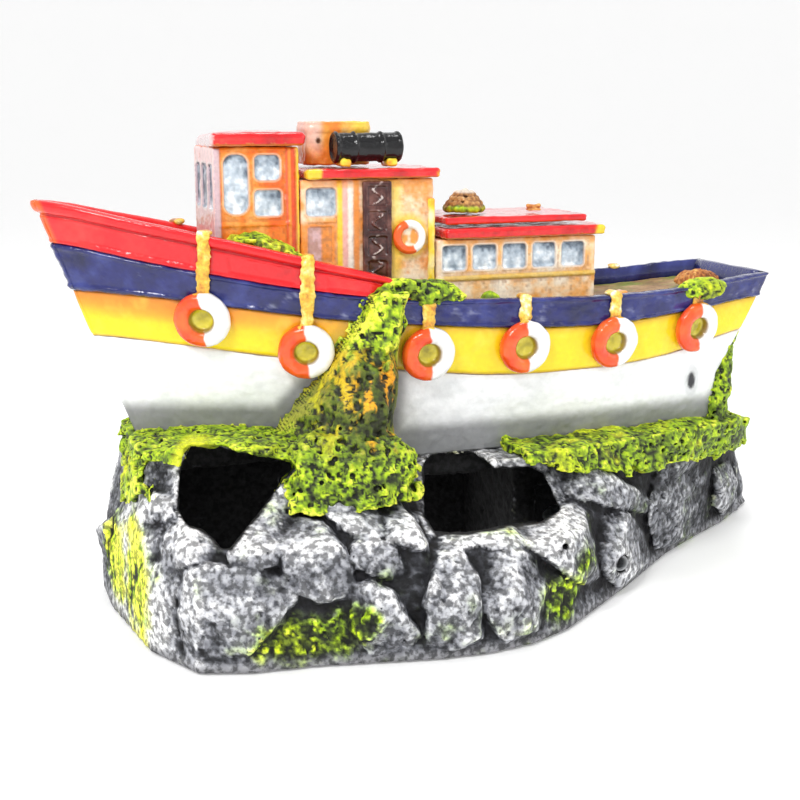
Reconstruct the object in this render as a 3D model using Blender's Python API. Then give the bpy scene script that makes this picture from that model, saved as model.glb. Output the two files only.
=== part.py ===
"""Bubbling aquarium ornament: a grounded fishing boat on a hollow rock base.

The boat, houses, deck gear and fender rings are separate castings set on the rock with a
hair of glue clearance. An air nipple, hose and air stone sit in a pocket inside the rock.
Bow at -X, stern at +X, port side towards -Y, rock standing on Z = 0.
"""
import math

import bmesh
import bpy
from mathutils import Matrix, Vector

MM = 0.001

# ---- driving dimensions, in millimetres ----
base_length = 271.0      # rock, tip to tip
base_width = 123.0       # rock, front to back
base_height = 60.0       # shelf under the bow
stern_shelf = 50.0       # lower shelf under the stern
rock_wall = 8.0          # thickness of the hollow casting
hull_length = 255.0      # stem head to transom, on the rail
hull_beam = 68.0         # widest, on the rail
hull_depth = 53.0        # stern shelf to the rail amidships
stem_rake = 0.36         # how far the stem leans per millimetre of height
strake_thickness = 3.0
house_width = 30.0       # wheelhouse and mid cabin
cabin_width = 36.0       # aft cabin
fender_diameter = 18.0
fender_count = 6         # a side
drum_diameter = 10.4
nipple_bore = 3.8
nipple_outside = 6.0
stone_diameter = 14.0
stone_length = 22.0
stone_travel = 12.0      # how far the stone pulls off its hose
gap = 0.3                # glue clearance between castings

# ---- places that follow from them ----
centre_y = 16.0 * base_width / 123.0
bow_x = -hull_length * 144.0 / 255.0
base_x = -127.0 * base_length / 271.0
keel_z = stern_shelf + gap
fore_keel_z = base_height + gap
rise = hull_depth / 53.0


def wipe():
    for ob in list(bpy.data.objects):
        bpy.data.objects.remove(ob, do_unlink=True)


def paint(name, colour, rough=0.4, metal=0.0):
    m = bpy.data.materials.new(name)
    m.use_nodes = True
    b = m.node_tree.nodes["Principled BSDF"]
    b.inputs["Base Color"].default_value = (*colour, 1.0)
    b.inputs["Roughness"].default_value = rough
    b.inputs["Metallic"].default_value = metal
    return m


def new_object(name, bm, material, smooth=False, origin=None):
    """Turn a bmesh built in millimetres into a named object in metres."""
    at = Vector(origin) if origin else Vector((0.0, 0.0, 0.0))
    for v in bm.verts:
        v.co = (v.co - at) * MM
    bmesh.ops.triangulate(bm, faces=bm.faces)
    bmesh.ops.recalc_face_normals(bm, faces=bm.faces)
    mesh = bpy.data.meshes.new(name)
    bm.to_mesh(mesh)
    bm.free()
    mesh.materials.append(material)
    for p in mesh.polygons:
        p.use_smooth = smooth
    ob = bpy.data.objects.new(name, mesh)
    ob.location = at * MM
    bpy.context.collection.objects.link(ob)
    return ob


def loft(name, rings, material, closed=False, smooth=False, origin=None):
    """Skin a row of point rings; the ends are capped unless the row closes on itself."""
    bm = bmesh.new()
    rows = [[bm.verts.new(p) for p in ring] for ring in rings]
    n = len(rings[0])
    pairs = list(zip(rows, rows[1:]))
    if closed:
        pairs.append((rows[-1], rows[0]))
    for a, b in pairs:
        for i in range(n):
            j = (i + 1) % n
            bm.faces.new((a[i], a[j], b[j], b[i]))
    if not closed:
        bm.faces.new(rows[0])
        bm.faces.new(rows[-1][::-1])
    return new_object(name, bm, material, smooth, origin)


def turned(name, profile, place, material, sides=14, smooth=True, origin=None):
    """Revolve (radius, height) points about the local Z of place; radius 0 makes a pole."""
    bm = bmesh.new()
    rows = []
    for r, h in profile:
        if r == 0.0:
            rows.append([bm.verts.new(place @ Vector((0.0, 0.0, h)))])
        else:
            ring = []
            for k in range(sides):
                a = 2.0 * math.pi * k / sides
                ring.append(bm.verts.new(place @ Vector((r * math.cos(a), r * math.sin(a), h))))
            rows.append(ring)
    pairs = list(zip(rows, rows[1:]))
    if profile[0][0] > 0.0:
        pairs.append((rows[-1], rows[0]))
    for a, b in pairs:
        for k in range(sides):
            j = (k + 1) % sides
            if len(a) == 1:
                bm.faces.new((a[0], b[k], b[j]))
            elif len(b) == 1:
                bm.faces.new((a[k], a[j], b[0]))
            else:
                bm.faces.new((a[k], a[j], b[j], b[k]))
    return new_object(name, bm, material, smooth, origin)


def facing(at, out, up=(0.0, 0.0, 1.0)):
    """Placing matrix whose local Z points out of the wall and local Y is roughly up."""
    z = Vector(out).normalized()
    x = Vector(up).cross(z).normalized()
    y = z.cross(x)
    m = Matrix((x, y, z)).transposed().to_4x4()
    m.translation = Vector(at)
    return m


def curve_through(xs, ys, x):
    """Smooth value through hand-set stations."""
    if x <= xs[0]:
        return ys[0]
    if x >= xs[-1]:
        return ys[-1]
    i = max(k for k in range(len(xs) - 1) if xs[k] <= x)
    t = (x - xs[i]) / (xs[i + 1] - xs[i])
    p0, p1, p2 = ys[max(i - 1, 0)], ys[i], ys[i + 1]
    p3 = ys[min(i + 2, len(ys) - 1)]
    return 0.5 * (2 * p1 + (p2 - p0) * t + (2 * p0 - 5 * p1 + 4 * p2 - p3) * t * t
                  + (3 * p1 - p0 - 3 * p2 + p3) * t ** 3)


# ---- hull lines: heights over the stern shelf at stations along the hull ----
stations = (0.0, 0.1, 0.2, 0.3, 0.42, 0.55, 0.7, 0.85, 1.0)
rail_line = (87.4, 81.4, 75.0, 68.2, 60.5, 55.0, 53.2, 54.0, 57.0)
strake_line = (74.0, 68.3, 63.0, 58.6, 55.2, 54.0, 53.2, 54.0, 57.0)
yellow_line = (59.0, 57.0, 53.5, 50.0, 47.0, 44.5, 43.2, 45.2, 48.5)
white_line = (44.0, 41.5, 38.3, 35.0, 31.3, 28.0, 27.6, 29.5, 36.0)
deck_line = (70.0, 67.0, 62.5, 58.0, 53.0, 48.5, 46.5, 48.0, 51.0)


def height(line, s):
    return stern_shelf + rise * curve_through(stations, line, s)


def stem_x(z):
    return bow_x + stem_rake * (height(rail_line, 0.0) - z)


def stern_x(z):
    top = bow_x + hull_length
    lowest = height(rail_line, 1.0) - 37.0 * rise
    return top - 0.46 * (height(rail_line, 1.0) - max(z, lowest))


def breadth(s, z):
    """Half breadth of the hull at a station and height."""
    v = min(1.0, max(0.0, (z - keel_z) / (height(rail_line, s) - keel_z)))
    fine = 0.72 + 0.4 * (1.0 - v)
    b = hull_beam / 2.0 * (0.66 + 0.34 * math.sin(math.pi / 2.0 * v))
    if s < 0.42:
        b *= math.sin(math.pi / 2.0 * s / 0.42) ** fine
    if s > 0.62:
        b *= 1.0 - 0.34 * ((s - 0.62) / 0.38) ** 2
    return max(0.8, b)


def on_hull(s, z, side, off=0.0):
    x = stem_x(z) + s * (stern_x(z) - stem_x(z))
    return (x, centre_y + side * (breadth(s, z) + off), z)


def station_at(x, z):
    return (x - stem_x(z)) / (stern_x(z) - stem_x(z))


def along(fraction):
    """Distance along the boat from the stem head, as an X."""
    return bow_x + hull_length * fraction


def deck_at(x):
    z = height(deck_line, 0.5)
    for _ in range(3):
        z = height(deck_line, station_at(x, z))
    return z


def roof_z(level):
    """House heights are kept as heights over the stern shelf."""
    return stern_shelf + rise * level


wipe()
stone_grey = paint("rock grey", (0.30, 0.31, 0.33), 0.75)
moss_green = paint("moss green", (0.36, 0.55, 0.03), 0.85)
hull_white = paint("hull white", (0.80, 0.81, 0.82), 0.30)
hull_yellow = paint("hull yellow", (0.93, 0.72, 0.02), 0.28)
navy = paint("strake navy", (0.03, 0.035, 0.20), 0.25)
red = paint("bulwark red", (0.78, 0.01, 0.02), 0.25)
deck_paint = paint("deck tan", (0.45, 0.30, 0.16), 0.55)
orange = paint("wheelhouse orange", (0.90, 0.30, 0.05), 0.40)
peach = paint("cabin peach", (0.90, 0.60, 0.42), 0.45)
black = paint("drum black", (0.01, 0.01, 0.01), 0.12)
brown = paint("ladder brown", (0.09, 0.02, 0.015), 0.30)
ochre = paint("rope ochre", (0.75, 0.50, 0.12), 0.55)
ring_red = paint("fender orange red", (0.90, 0.12, 0.03), 0.25)
clear_tube = paint("hose silicone", (0.70, 0.74, 0.74), 0.35)
hard_plastic = paint("nipple plastic", (0.20, 0.21, 0.22), 0.35)
air_stone_blue = paint("air stone", (0.12, 0.22, 0.45), 0.90)
rust = paint("net rust", (0.32, 0.14, 0.06), 0.85)

# ---- rock: open-bottomed hollow castings, butted bow, middle and stern, with two front
# caves and an arch behind ----
plan_x = (-127, -121, -110, -95, -75, -56, -42, -37, -22, -6, 10, 25, 50, 78, 103, 120, 133, 145.6)
front_y = (18, -24, -46, -51, -53, -57, -60, -61, -62, -60, -53, -42, -23, 0, 16, 26, 36, 46)
back_y = (38, 47, 52, 55, 58, 60, 61, 62, 62, 62, 62, 61, 61, 61, 61, 60, 59, 57)
brow_y = (24, -6, -20, -25, -27, -28, -28, -28, -28, -27, -26, -24, -18, -9, 2, 18, 38, 50)
crest = (40, 57, 60, 60, 60, 60, 60, 50, 50, 50, 50, 50, 50, 50, 50, 47, 30, 12)
sx = base_length / 271.0
sy = base_width / 123.0


def crest_z(value):
    if value > 50:
        return base_height * value / 60.0
    return stern_shelf * value / 50.0


def between(values, x):
    """Straight-line value at x between the plan stations."""
    for x0, x1, v0, v1 in zip(plan_x, plan_x[1:], values, values[1:]):
        if x <= x1:
            return v0 + (v1 - v0) * (x - x0) / (x1 - x0)
    return values[-1]


def rock_slice(x):
    """One slice of the rock across the boat at an unscaled station."""
    f, b, t = (between(v, x) * sy for v in (front_y, back_y, brow_y))
    top = between([crest_z(c) for c in crest], x)
    w = min(1.0, (b - t) / 36.0)
    x *= sx
    return [(x, f, 0), (x, f, 0.08 * top), (x, f + 2 * w, 0.36 * top),
            (x, f + 0.25 * (t - f), 0.62 * top), (x, f + 0.75 * (t - f), 0.74 * top),
            (x, t, 0.9 * top), (x, t + 3 * w, top - 0.2), (x, 0.5 * (t + b), top),
            (x, b - 9 * w, top - 0.2), (x, b - 5 * w, 0.8 * top), (x, b - 2 * w, 0.4 * top),
            (x, b, 0)]


def rock_block(name, x0, x1):
    xs = [x0] + [x for x in plan_x if x0 + 1.0 < x < x1 - 1.0] + [x1]
    return loft(name, [rock_slice(x) for x in xs], stone_grey)


seam = 0.5 * gap / sx
rock_bow = rock_block("rock_bow", plan_x[0], -48.0 - seam)
rock_middle = rock_block("rock_middle", -48.0 + seam, 17.0 - seam)
rock_stern = rock_block("rock_stern", 17.0 + seam, plan_x[-1])


def carve(name, rings, *blocks):
    cutter = loft(name, rings, stone_grey)
    cutter.hide_render = True
    cutter.display_type = "WIRE"
    for ob in blocks:
        m = ob.modifiers.new(name, "BOOLEAN")
        m.operation = "DIFFERENCE"
        m.solver = "EXACT"
        m.object = cutter


def block(x0, x1, y0, y1, z0, z1):
    return [[(x, y0, z0), (x, y1, z0), (x, y1, z1), (x, y0, z1)] for x in (x0, x1)]


# big chamber under the bow and midships, then the pocket for the air stone
cave_rear = 13.0 * sx
pocket_front = cave_rear + rock_wall
roof_fore = base_height - rock_wall
roof_aft = stern_shelf - rock_wall
carve("hollow_fore", block(-108 * sx, -40 * sx, -16 * sy, 46 * sy, -2, roof_fore - 4), rock_bow)
carve("hollow_mid", block(-60 * sx, cave_rear, -18 * sy, 48 * sy, -2, roof_aft - 2), rock_middle)
carve("hollow_pocket", block(pocket_front, 92 * sx, 18 * sy, 49 * sy, -2, roof_aft - 9),
      rock_stern)
carve("hollow_nook", block(pocket_front + 1, 46 * sx, -14 * sy, 24 * sy, -2, roof_aft - 10),
      rock_stern)


def mouth(name, outline, y0, y1, *blocks):
    """A cave mouth is an uneven polygon pushed straight back through the wall."""
    carve(name, [[(x * sx, y * sy, z) for x, z in outline] for y in (y0, y1)], *blocks)


mouth("cave_mouth_bow", [(-108, 36), (-88, 34), (-74, 48), (-76, 54.5), (-98, 55), (-108, 54)],
      -70, -8, rock_bow)
mouth("cave_mouth_mid", [(-37, 34), (2, 32), (9, 37), (4, 44), (-14, 45.5), (-34, 45.5)],
      -75, -8, rock_middle)
mouth("cave_mouth_back", [(-45, -3), (-3, -3), (-5, 22), (-14, 32), (-34, 32), (-43, 22)],
      30, 80, rock_middle)

# bore for the air nipple and the small bubble vent beside it
nipple_x = 39.5 * sx
nipple_z = 12.6
nipple_tip_y = -33.5 * sy


def rod(p, q, radius, sides=12):
    """Rings of a straight round bar between two points."""
    p, q = Vector(p), Vector(q)
    d = (q - p).normalized()
    u = d.orthogonal().normalized()
    w = d.cross(u)
    return [[c + radius * (math.cos(2 * math.pi * k / sides) * u
                           + math.sin(2 * math.pi * k / sides) * w) for k in range(sides)]
            for c in (p, q)]


carve("nipple_bore", rod((nipple_x, -60 * sy, nipple_z), (nipple_x, 0, nipple_z),
                         nipple_outside / 2.0 + gap), rock_stern)
carve("bubble_vent", rod((18.5 * sx, -62 * sy, 27.0), (26.0 * sx, -10 * sy, 27.0), 1.6, 8),
      rock_stern)

# ---- moss banks laid over the rock against the hull ----


def bank(name, rows, material=moss_green):
    """Low rounded bank: each row gives x, back edge y, front edge y, bottom and top."""
    rings = []
    for x, yb, yf, z0, z1 in rows:
        rings.append([(x, yb, z0), (x, yb, z1), (x, yb + 0.4 * (yf - yb), z1 - 0.5),
                      (x, yb + 0.8 * (yf - yb), z0 + 0.6 * (z1 - z0)), (x, yf, z0)])
    return loft(name, rings, material)


def beside_hull(x, z, extra=gap):
    """Y of the port side of the hull with clearance."""
    return centre_y - breadth(station_at(x, z), z) - extra


bow_top = base_height + gap
bank("moss_ledge_bow", [(x * sx, beside_hull(x * sx, bow_top + 6, 0.8), y * sy, bow_top, bow_top + h)
                        for x, y, h in ((-106, -8, 3.0), (-98, -18, 5), (-84, -23, 6),
                                        (-74, -24.5, 5))])
aft_top = stern_shelf + gap
bank("moss_ledge_stern", [(x * sx, beside_hull(x * sx, aft_top + 5, 1.0), y * sy, aft_top,
                           aft_top + h)
                          for x, y, h in ((12, -21.5, 3), (30, -20, 5), (52, -15, 5),
                                          (74, -10, 4), (86, -5.5, 3.0))])

# ---- hull castings ----


def hull_band(name, low, high, material, extra=(), steps=15):
    rings = []
    for s in sorted([(k / (steps - 1.0)) ** 1.25 for k in range(steps)] + list(extra)):
        z0, z1 = low(s), high(s)
        zs = [z0 + (z1 - z0) * f for f in (0.0, 0.33, 0.66, 1.0)]
        rings.append([on_hull(s, z, -1) for z in zs] + [on_hull(s, z, 1) for z in zs[::-1]])
    return loft(name, rings, material)


step_fore = station_at(-41.0 * sx, fore_keel_z)
step_aft = station_at(-35.5 * sx, keel_z)
hull_band("hull_bottom", lambda s: fore_keel_z if s <= step_fore else keel_z,
          lambda s: height(white_line, s), hull_white, (step_fore, step_aft))
hull_band("hull_topsides", lambda s: height(white_line, s) + gap,
          lambda s: height(yellow_line, s), hull_yellow)


def wall_section(s, side, z0, z1, out, inner, cap=0.0):
    """Upright slice of a strake: outer foot, outer head, inner head, inner foot."""
    zc = z1 - 2.6
    a, b = on_hull(s, z0, side, out), on_hull(s, zc, side, out)
    c, d = on_hull(s, zc, side, out + cap), on_hull(s, z1, side, out + cap)
    e, f = on_hull(s, z1, side, -inner), on_hull(s, z0, side, -inner)
    return [a, b, c, d, e, f]


def bow_section(z0, z1, out, inner, cap=0.0):
    zc = z1 - 2.6
    xs = [(stem_x(z0) - out, z0), (stem_x(zc) - out, zc), (stem_x(zc) - out - cap, zc),
          (stem_x(z1) - out - cap, z1), (stem_x(z1) + 2 * inner, z1), (stem_x(z0) + 2 * inner, z0)]
    return [(x, centre_y, z) for x, z in xs]


wall_stations = (0.04, 0.09, 0.16, 0.25, 0.34, 0.42, 0.55, 0.68, 0.8, 0.9, 1.0)


def strake(name, low, high, stern_s, material, closed, cap):
    port = [s for s in wall_stations if s <= stern_s]
    rings = []
    for s in reversed(port):
        rings.append(wall_section(s, -1, low(s), high(s), 0.8, strake_thickness - 0.8, cap))
    rings.append(bow_section(low(0.0), high(0.0), 0.8, strake_thickness, cap))
    for s in port:
        rings.append(wall_section(s, 1, low(s), high(s), 0.8, strake_thickness - 0.8, cap))
    if closed:
        for ring in (rings[0], rings[-1]):
            for i in (4, 5):
                ring[i] = (ring[i][0] - strake_thickness, ring[i][1], ring[i][2])
    return loft(name, rings, material, closed=closed)


strake("sheer_strake", lambda s: height(yellow_line, s) + gap, lambda s: height(strake_line, s),
       1.0, navy, True, 0.5)
strake("bow_bulwark", lambda s: height(strake_line, s) + gap, lambda s: height(rail_line, s),
       0.42, red, False, 0.8)

deck_rings = []
for s in (0.08, 0.14, 0.22, 0.32, 0.42, 0.5, 0.6, 0.72, 0.84, 0.93, 0.975):
    z0, z1 = height(yellow_line, s) + gap, height(deck_line, s)
    inset = -(strake_thickness - 0.8) - gap - 0.8
    low = [on_hull(s, z0, side, inset) for side in (-1, 1)]
    high = [on_hull(s, z1, side, inset) for side in (-1, 1)]
    deck_rings.append([low[0], high[0], (high[0][0], centre_y, z1 + 0.6), high[1], low[1]])
loft("deck", deck_rings, deck_paint)

# ---- houses: boxes whose feet follow the sheer of the deck ----


def house(name, x0, x1, half, top, material, steps=4, bevel=1.2, mid=centre_y):
    """Walls with a small chamfer up the corners, cut to the deck below."""
    rings = []
    for x, y_half in [(x0, half - bevel)] + [(x0 + bevel + (x1 - x0 - 2 * bevel) * k / steps, half)
                                             for k in range(steps + 1)] + [(x1, half - bevel)]:
        foot = deck_at(x) + 0.85 + gap
        rings.append([(x, mid - y_half, foot), (x, mid - y_half, top), (x, mid + y_half, top),
                      (x, mid + y_half, foot)])
    return loft(name, rings, material)


def slab(name, x0, x1, half, z0, z1, material, edge=1.4, mid=centre_y, slope=0.0):
    """Roof board with rounded-over ends and sides."""
    rings = []
    for x, k in ((x0, edge), (x0 + edge, 0.0), (x1 - edge, 0.0), (x1, edge)):
        d = slope * (x - x0)
        r = 0.5 * edge
        rings.append([(x, mid - half + k, z0 + d), (x, mid - half - r + k, z0 + 0.5 * (z1 - z0) + d),
                      (x, mid - half + r + k, z1 + d), (x, mid, z1 + 0.5 * (edge - k) + d),
                      (x, mid + half - r - k, z1 + d),
                      (x, mid + half + r - k, z0 + 0.5 * (z1 - z0) + d),
                      (x, mid + half - k, z0 + d)])
    return loft(name, rings, material)


half_house = house_width / 2.0
half_cabin = cabin_width / 2.0
wheel_x0, wheel_x1 = along(0.208), along(0.3175)
mid_x0, mid_x1 = wheel_x1 + gap, along(0.4985)
aft_x0, aft_x1 = mid_x1 + gap, along(0.733)
wheel_top, mid_top, aft_top_z = roof_z(103.5), roof_z(92.8), roof_z(72.4)
house("wheelhouse", wheel_x0, wheel_x1, half_house, wheel_top, orange)
house("mid_cabin", mid_x0, mid_x1, half_house, mid_top, peach)
house("aft_cabin", aft_x0, aft_x1, half_cabin, aft_top_z, peach, 5)
slab("wheelhouse_roof", wheel_x0 - 4.5, wheel_x1 + 1.8, half_house + 2.5, wheel_top + gap,
     wheel_top + 4.4, red)
mid_roof_top = mid_top + gap + 3.0
slab("mid_cabin_roof", mid_x0 + 1.2, mid_x1 + 1.6, half_house + 2.4, mid_top + gap, mid_roof_top,
     red)
slab("aft_cabin_roof", aft_x0 + 1.8, aft_x1 + 2.6, half_cabin + 2.4, aft_top_z + gap,
     aft_top_z + 3.6, red)
slab("aft_roof_rim", aft_x0 + 3.0, aft_x1 - 3.5, half_cabin - 0.6, aft_top_z + 4.9,
     aft_top_z + 7.2, red)


# ---- ladder, posts and the ring on the cabin wall ----
wall_y = centre_y - half_house - gap
ladder_x0 = along(0.399)
ladder_z0 = deck_at(ladder_x0 + 5) + 4.0
ladder_z1 = mid_top - 0.6


def flat_frame(name, x0, x1, z0, z1, y, depth, rungs, bar, material):
    """Two stiles and evenly spaced rungs cut from one board."""
    bm = bmesh.new()
    zs = [z0]
    pitch = (z1 - z0 - bar) / (rungs - 1)
    for k in range(rungs):
        zs += [z0 + pitch * k, z0 + pitch * k + bar] if k else [z0 + bar]
    xs = [x0, x0 + bar, x1 - bar, x1]
    grid = {}
    for i, x in enumerate(xs):
        for j, z in enumerate(zs):
            for k, yy in enumerate((y, y - depth)):
                grid[i, j, k] = bm.verts.new((x, yy, z))
    cells = {(i, j) for i in range(3) for j in range(len(zs) - 1)
             if i != 1 or j % 2 == 0}
    for i, j in cells:
        for k in (0, 1):
            bm.faces.new((grid[i, j, k], grid[i + 1, j, k], grid[i + 1, j + 1, k],
                          grid[i, j + 1, k]))
        for di, dj, a, b in ((-1, 0, (0, 0), (0, 1)), (1, 0, (1, 0), (1, 1)),
                             (0, -1, (0, 0), (1, 0)), (0, 1, (0, 1), (1, 1))):
            if (i + di, j + dj) not in cells:
                bm.faces.new((grid[i + a[0], j + a[1], 0], grid[i + b[0], j + b[1], 0],
                              grid[i + b[0], j + b[1], 1], grid[i + a[0], j + a[1], 1]))
    return new_object(name, bm, material)


flat_frame("wall_ladder", ladder_x0, ladder_x0 + 10.0, ladder_z0, ladder_z1, wall_y, 1.6, 5, 1.3,
           brown)
ring_r = 5.8
turned("cabin_life_ring", [(3.0, 0.4), (3.0, 1.6), (3.8, 2.3), (ring_r - 0.8, 2.3), (ring_r, 1.6),
                           (ring_r, 0.4), (ring_r - 0.8, 0.0), (3.8, 0.0)],
       facing((along(0.4625), wall_y, roof_z(73.7)), (0, -1, 0)), ring_red, 16)
for label, side in (("port", -1), ("starboard", 1)):
    y = centre_y + side * (half_house + gap)
    z0, z1 = deck_at(mid_x1) + 1.5, mid_top - 6.5
    loft("cabin_post_" + label,
         [[(mid_x1 - 2.4, y, z), (mid_x1 - 0.2, y, z), (mid_x1 - 0.2, y + side * 1.8, z),
           (mid_x1 - 2.4, y + side * 1.8, z)] for z in (z0, z1)], hull_yellow)

# ---- funnel, drum and chocks on the mid roof ----
top = mid_roof_top + 0.7 + gap
fx0, fx1, fy0, fy1 = mid_x0 + 5.0, mid_x0 + 28.0, centre_y - 5.0, centre_y + 10.0
funnel = []
for z, k in ((top, 0.0), (top + 12.2, 0.0), (top + 13.6, 0.9), (top + 14.2, 2.4)):
    c = 3.0
    x0, x1, y0, y1 = fx0 + k, fx1 - k, fy0 + k, fy1 - k
    funnel.append([(x0 + c, y0, z), (x1 - c, y0, z), (x1, y0 + c, z), (x1, y1 - c, z),
                   (x1 - c, y1, z), (x0 + c, y1, z), (x0, y1 - c, z), (x0, y0 + c, z)])
loft("funnel", funnel, orange)
drum_r = drum_diameter / 2.0
drum_y = fy0 - drum_r - 1.0
chock_foot = mid_roof_top + gap + 0.4
drum_z = chock_foot + 1.0 + drum_r
drum_x0 = mid_x0 + 12.0
drum_len = 23.0
turned("fuel_drum", [(0.0, 0.0), (drum_r - 1.2, 0.0), (drum_r - 0.4, 1.0), (drum_r - 0.4, 6.2),
                     (drum_r, 6.8), (drum_r - 0.4, 7.4), (drum_r - 0.4, drum_len - 7.4),
                     (drum_r, drum_len - 6.8), (drum_r - 0.4, drum_len - 6.2),
                     (drum_r - 0.4, drum_len - 1.0), (drum_r - 1.2, drum_len), (0.0, drum_len)],
       facing((drum_x0, drum_y, drum_z), (1, 0, 0)), black, 16)
for label, x in (("fore", drum_x0 + 3.6), ("aft", drum_x0 + drum_len - 3.6)):
    zf = chock_foot
    sag = drum_z - drum_r + 0.4 - gap - 0.05
    ring = [(drum_y - 3.6, zf), (drum_y + 3.6, zf), (drum_y + 3.6, drum_z - 3.9),
            (drum_y + 1.6, sag), (drum_y - 1.6, sag), (drum_y - 3.6, drum_z - 3.9)]
    loft("drum_chock_" + label, [[(xx, y, z) for y, z in ring] for xx in (x - 1.4, x + 1.4)],
         hull_yellow)

# ---- small gear on the aft roof and the decks ----
roof_top = aft_top_z + 7.2 + 0.7 + gap
turned("roof_rope_coil", [(0.0, 0.0), (7.0, 0.0), (7.6, 1.6), (6.2, 3.4), (4.6, 5.0), (3.4, 6.6),
                          (0.0, 7.6)],
       facing((aft_x0 + 15.0, centre_y - 5.0, roof_top), (0, 0, 1), (0, 1, 0)), rust, 12)
loft("roof_cleat", [[(x, centre_y - 8 + y, z) for y, z in ((-1.2, roof_top), (1.2, roof_top),
                                                            (0.7, roof_top + 1.6),
                                                            (-0.7, roof_top + 1.6))]
                    for x in (aft_x0 + 38.0, aft_x0 + 41.5)], rust)


def on_deck(x):
    return deck_at(x) + 0.85 + gap


side_y = centre_y - half_cabin - 6.0
fl_x = along(0.565)
turned("deck_float", [(0.0, 0.0), (2.0, 0.0), (3.2, 1.8), (3.2, 3.6), (2.0, 5.4), (0.0, 5.8)],
       facing((fl_x, side_y, on_deck(fl_x)), (0, 0, 1), (0, 1, 0)), moss_green, 10)
bx = along(0.748)
loft("deck_box", [[(x, y, z) for y, z in ((side_y - 2, on_deck(bx)), (side_y + 3, on_deck(bx)),
                                          (side_y + 3, on_deck(bx) + 5.4),
                                          (side_y - 2, on_deck(bx) + 5.4))]
                  for x in (bx, bx + 5.5)], orange)
nx = along(0.92)
turned("stern_net_heap", [(0.0, 0.0), (9.0, 0.0), (8.6, 3.0), (5.5, 6.4), (0.0, 8.0)],
       facing((nx, centre_y - 4.0, on_deck(nx) + 0.8), (0, 0, 1), (0, 1, 0)), rust, 12)

moss_x = (wheel_x0 + 3.0, wheel_x0 + 11.0, wheel_x0 + 20.0, wheel_x1 - 1.0)
moss_h = (5.0, 11.0, 10.5, 5.0)
moss_rings = []
for x, h in zip(moss_x, moss_h):
    z = on_deck(x)
    yo = centre_y - half_house - gap
    yi = centre_y - breadth(station_at(x, z), z) + strake_thickness + 1.6
    moss_rings.append([(x, yo, z), (x, yo, z + h), (x, 0.5 * (yo + yi), z + 0.8 * h),
                       (x, yi, z + 0.2), (x, yi, z)])
loft("moss_side_deck", moss_rings, moss_green)

# ---- moss buttress leaning over the hull amidships ----
lean = []
for x_low, x_high, y_low, z, thick in ((-72, -42, -29, base_height + gap, 22.0),
                                       (-68, -37.5, -27, base_height + 9, 16.0),
                                       (-58, -37.5, -25, base_height + 20, 10.5),
                                       (-53, -38, -23, base_height + 32, 7.0),
                                       (-48, -38, -21.5, base_height + 40, 4.4)):
    ring = []
    for x in (x_low * sx, 0.5 * (x_low + x_high) * sx, x_high * sx):
        ring.append((x, beside_hull(x, z, 2.2), z))
    mid_x = 0.5 * (x_low + x_high) * sx
    for x, k in ((x_high * sx, 0.25), (mid_x, 1.0), (x_low * sx, 0.25)):
        ring.append((x, beside_hull(x, z, 2.2) - 0.8 - thick * k * 0.42, z))
    lean.append(ring)
loft("moss_buttress", lean, moss_green)

# ---- fender rings hung on rope straps over the rail, both sides ----
fender_fractions = (0.188, 0.309, 0.462, 0.596, 0.729, 0.866)
fender_drop = (26.0, 29.0, 17.0, 15.5, 15.5, 14.0)
fr = fender_diameter / 2.0
for side, label in ((-1, "port"), (1, "starboard")):
    for k in range(fender_count):
        x = along(fender_fractions[k])
        s_rail = station_at(x, height(rail_line, fender_fractions[k]))
        fore = s_rail < 0.43
        line = rail_line if fore else strake_line
        zr = height(line, s_rail)
        zc = zr - fender_drop[k] * rise
        s_c = station_at(x, zc)
        here = Vector(on_hull(s_c, zc, side))
        du = Vector(on_hull(s_c + 0.02, zc, side)) - Vector(on_hull(s_c - 0.02, zc, side))
        dv = Vector(on_hull(s_c, zc + 3, side)) - Vector(on_hull(s_c, zc - 3, side))
        out = du.cross(dv).normalized()
        if out.y * side < 0:
            out = -out
        seat = here + out * (0.65 + gap)
        turned("fender_%s_%d" % (label, k + 1),
               [(0.0, 0.0), (fr - 1.2, 0.0), (fr, 1.5), (fr - 0.9, 3.6), (0.75 * fr, 4.3),
                (0.53 * fr, 3.2), (0.42 * fr, 1.4), (0.0, 1.1)],
               facing(seat, out), ring_red, 14)
        z_low = zc + fr + 1.4
        reach = 0.8 + (0.8 if fore else 0.5) + gap + 0.35
        rings = []
        for j in range(6):
            z = z_low + (zr - z_low) * min(j, 4) / 4.0
            s_z = station_at(x, z)
            fore_aft = Vector(on_hull(s_z + 0.01, z, side)) - Vector(on_hull(s_z - 0.01, z, side))
            fore_aft = fore_aft.normalized() * 1.9
            flat = Vector((-fore_aft.y, fore_aft.x, 0.0)).normalized()
            if flat.y * side < 0:
                flat = -flat
            p = Vector(on_hull(s_z, z, side))
            skin, lift = Vector((0, 0, 0)), Vector((0, 0, gap + 0.35))
            if j < 4:
                low_in, low_out = p + flat * reach, p + flat * (reach + 1.2)
            elif j == 4:
                low_in = p + flat * reach + lift
                low_out = p + flat * (reach + 1.2) + lift + Vector((0, 0, 1.2))
            else:
                low_in = p - flat * 1.4 + lift
                low_out = low_in + Vector((0, 0, 1.2))
            rings.append([low_in - fore_aft, low_in + fore_aft, low_out + fore_aft,
                          low_out - fore_aft])
        loft("fender_rope_%s_%d" % (label, k + 1), rings, ochre)

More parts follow.
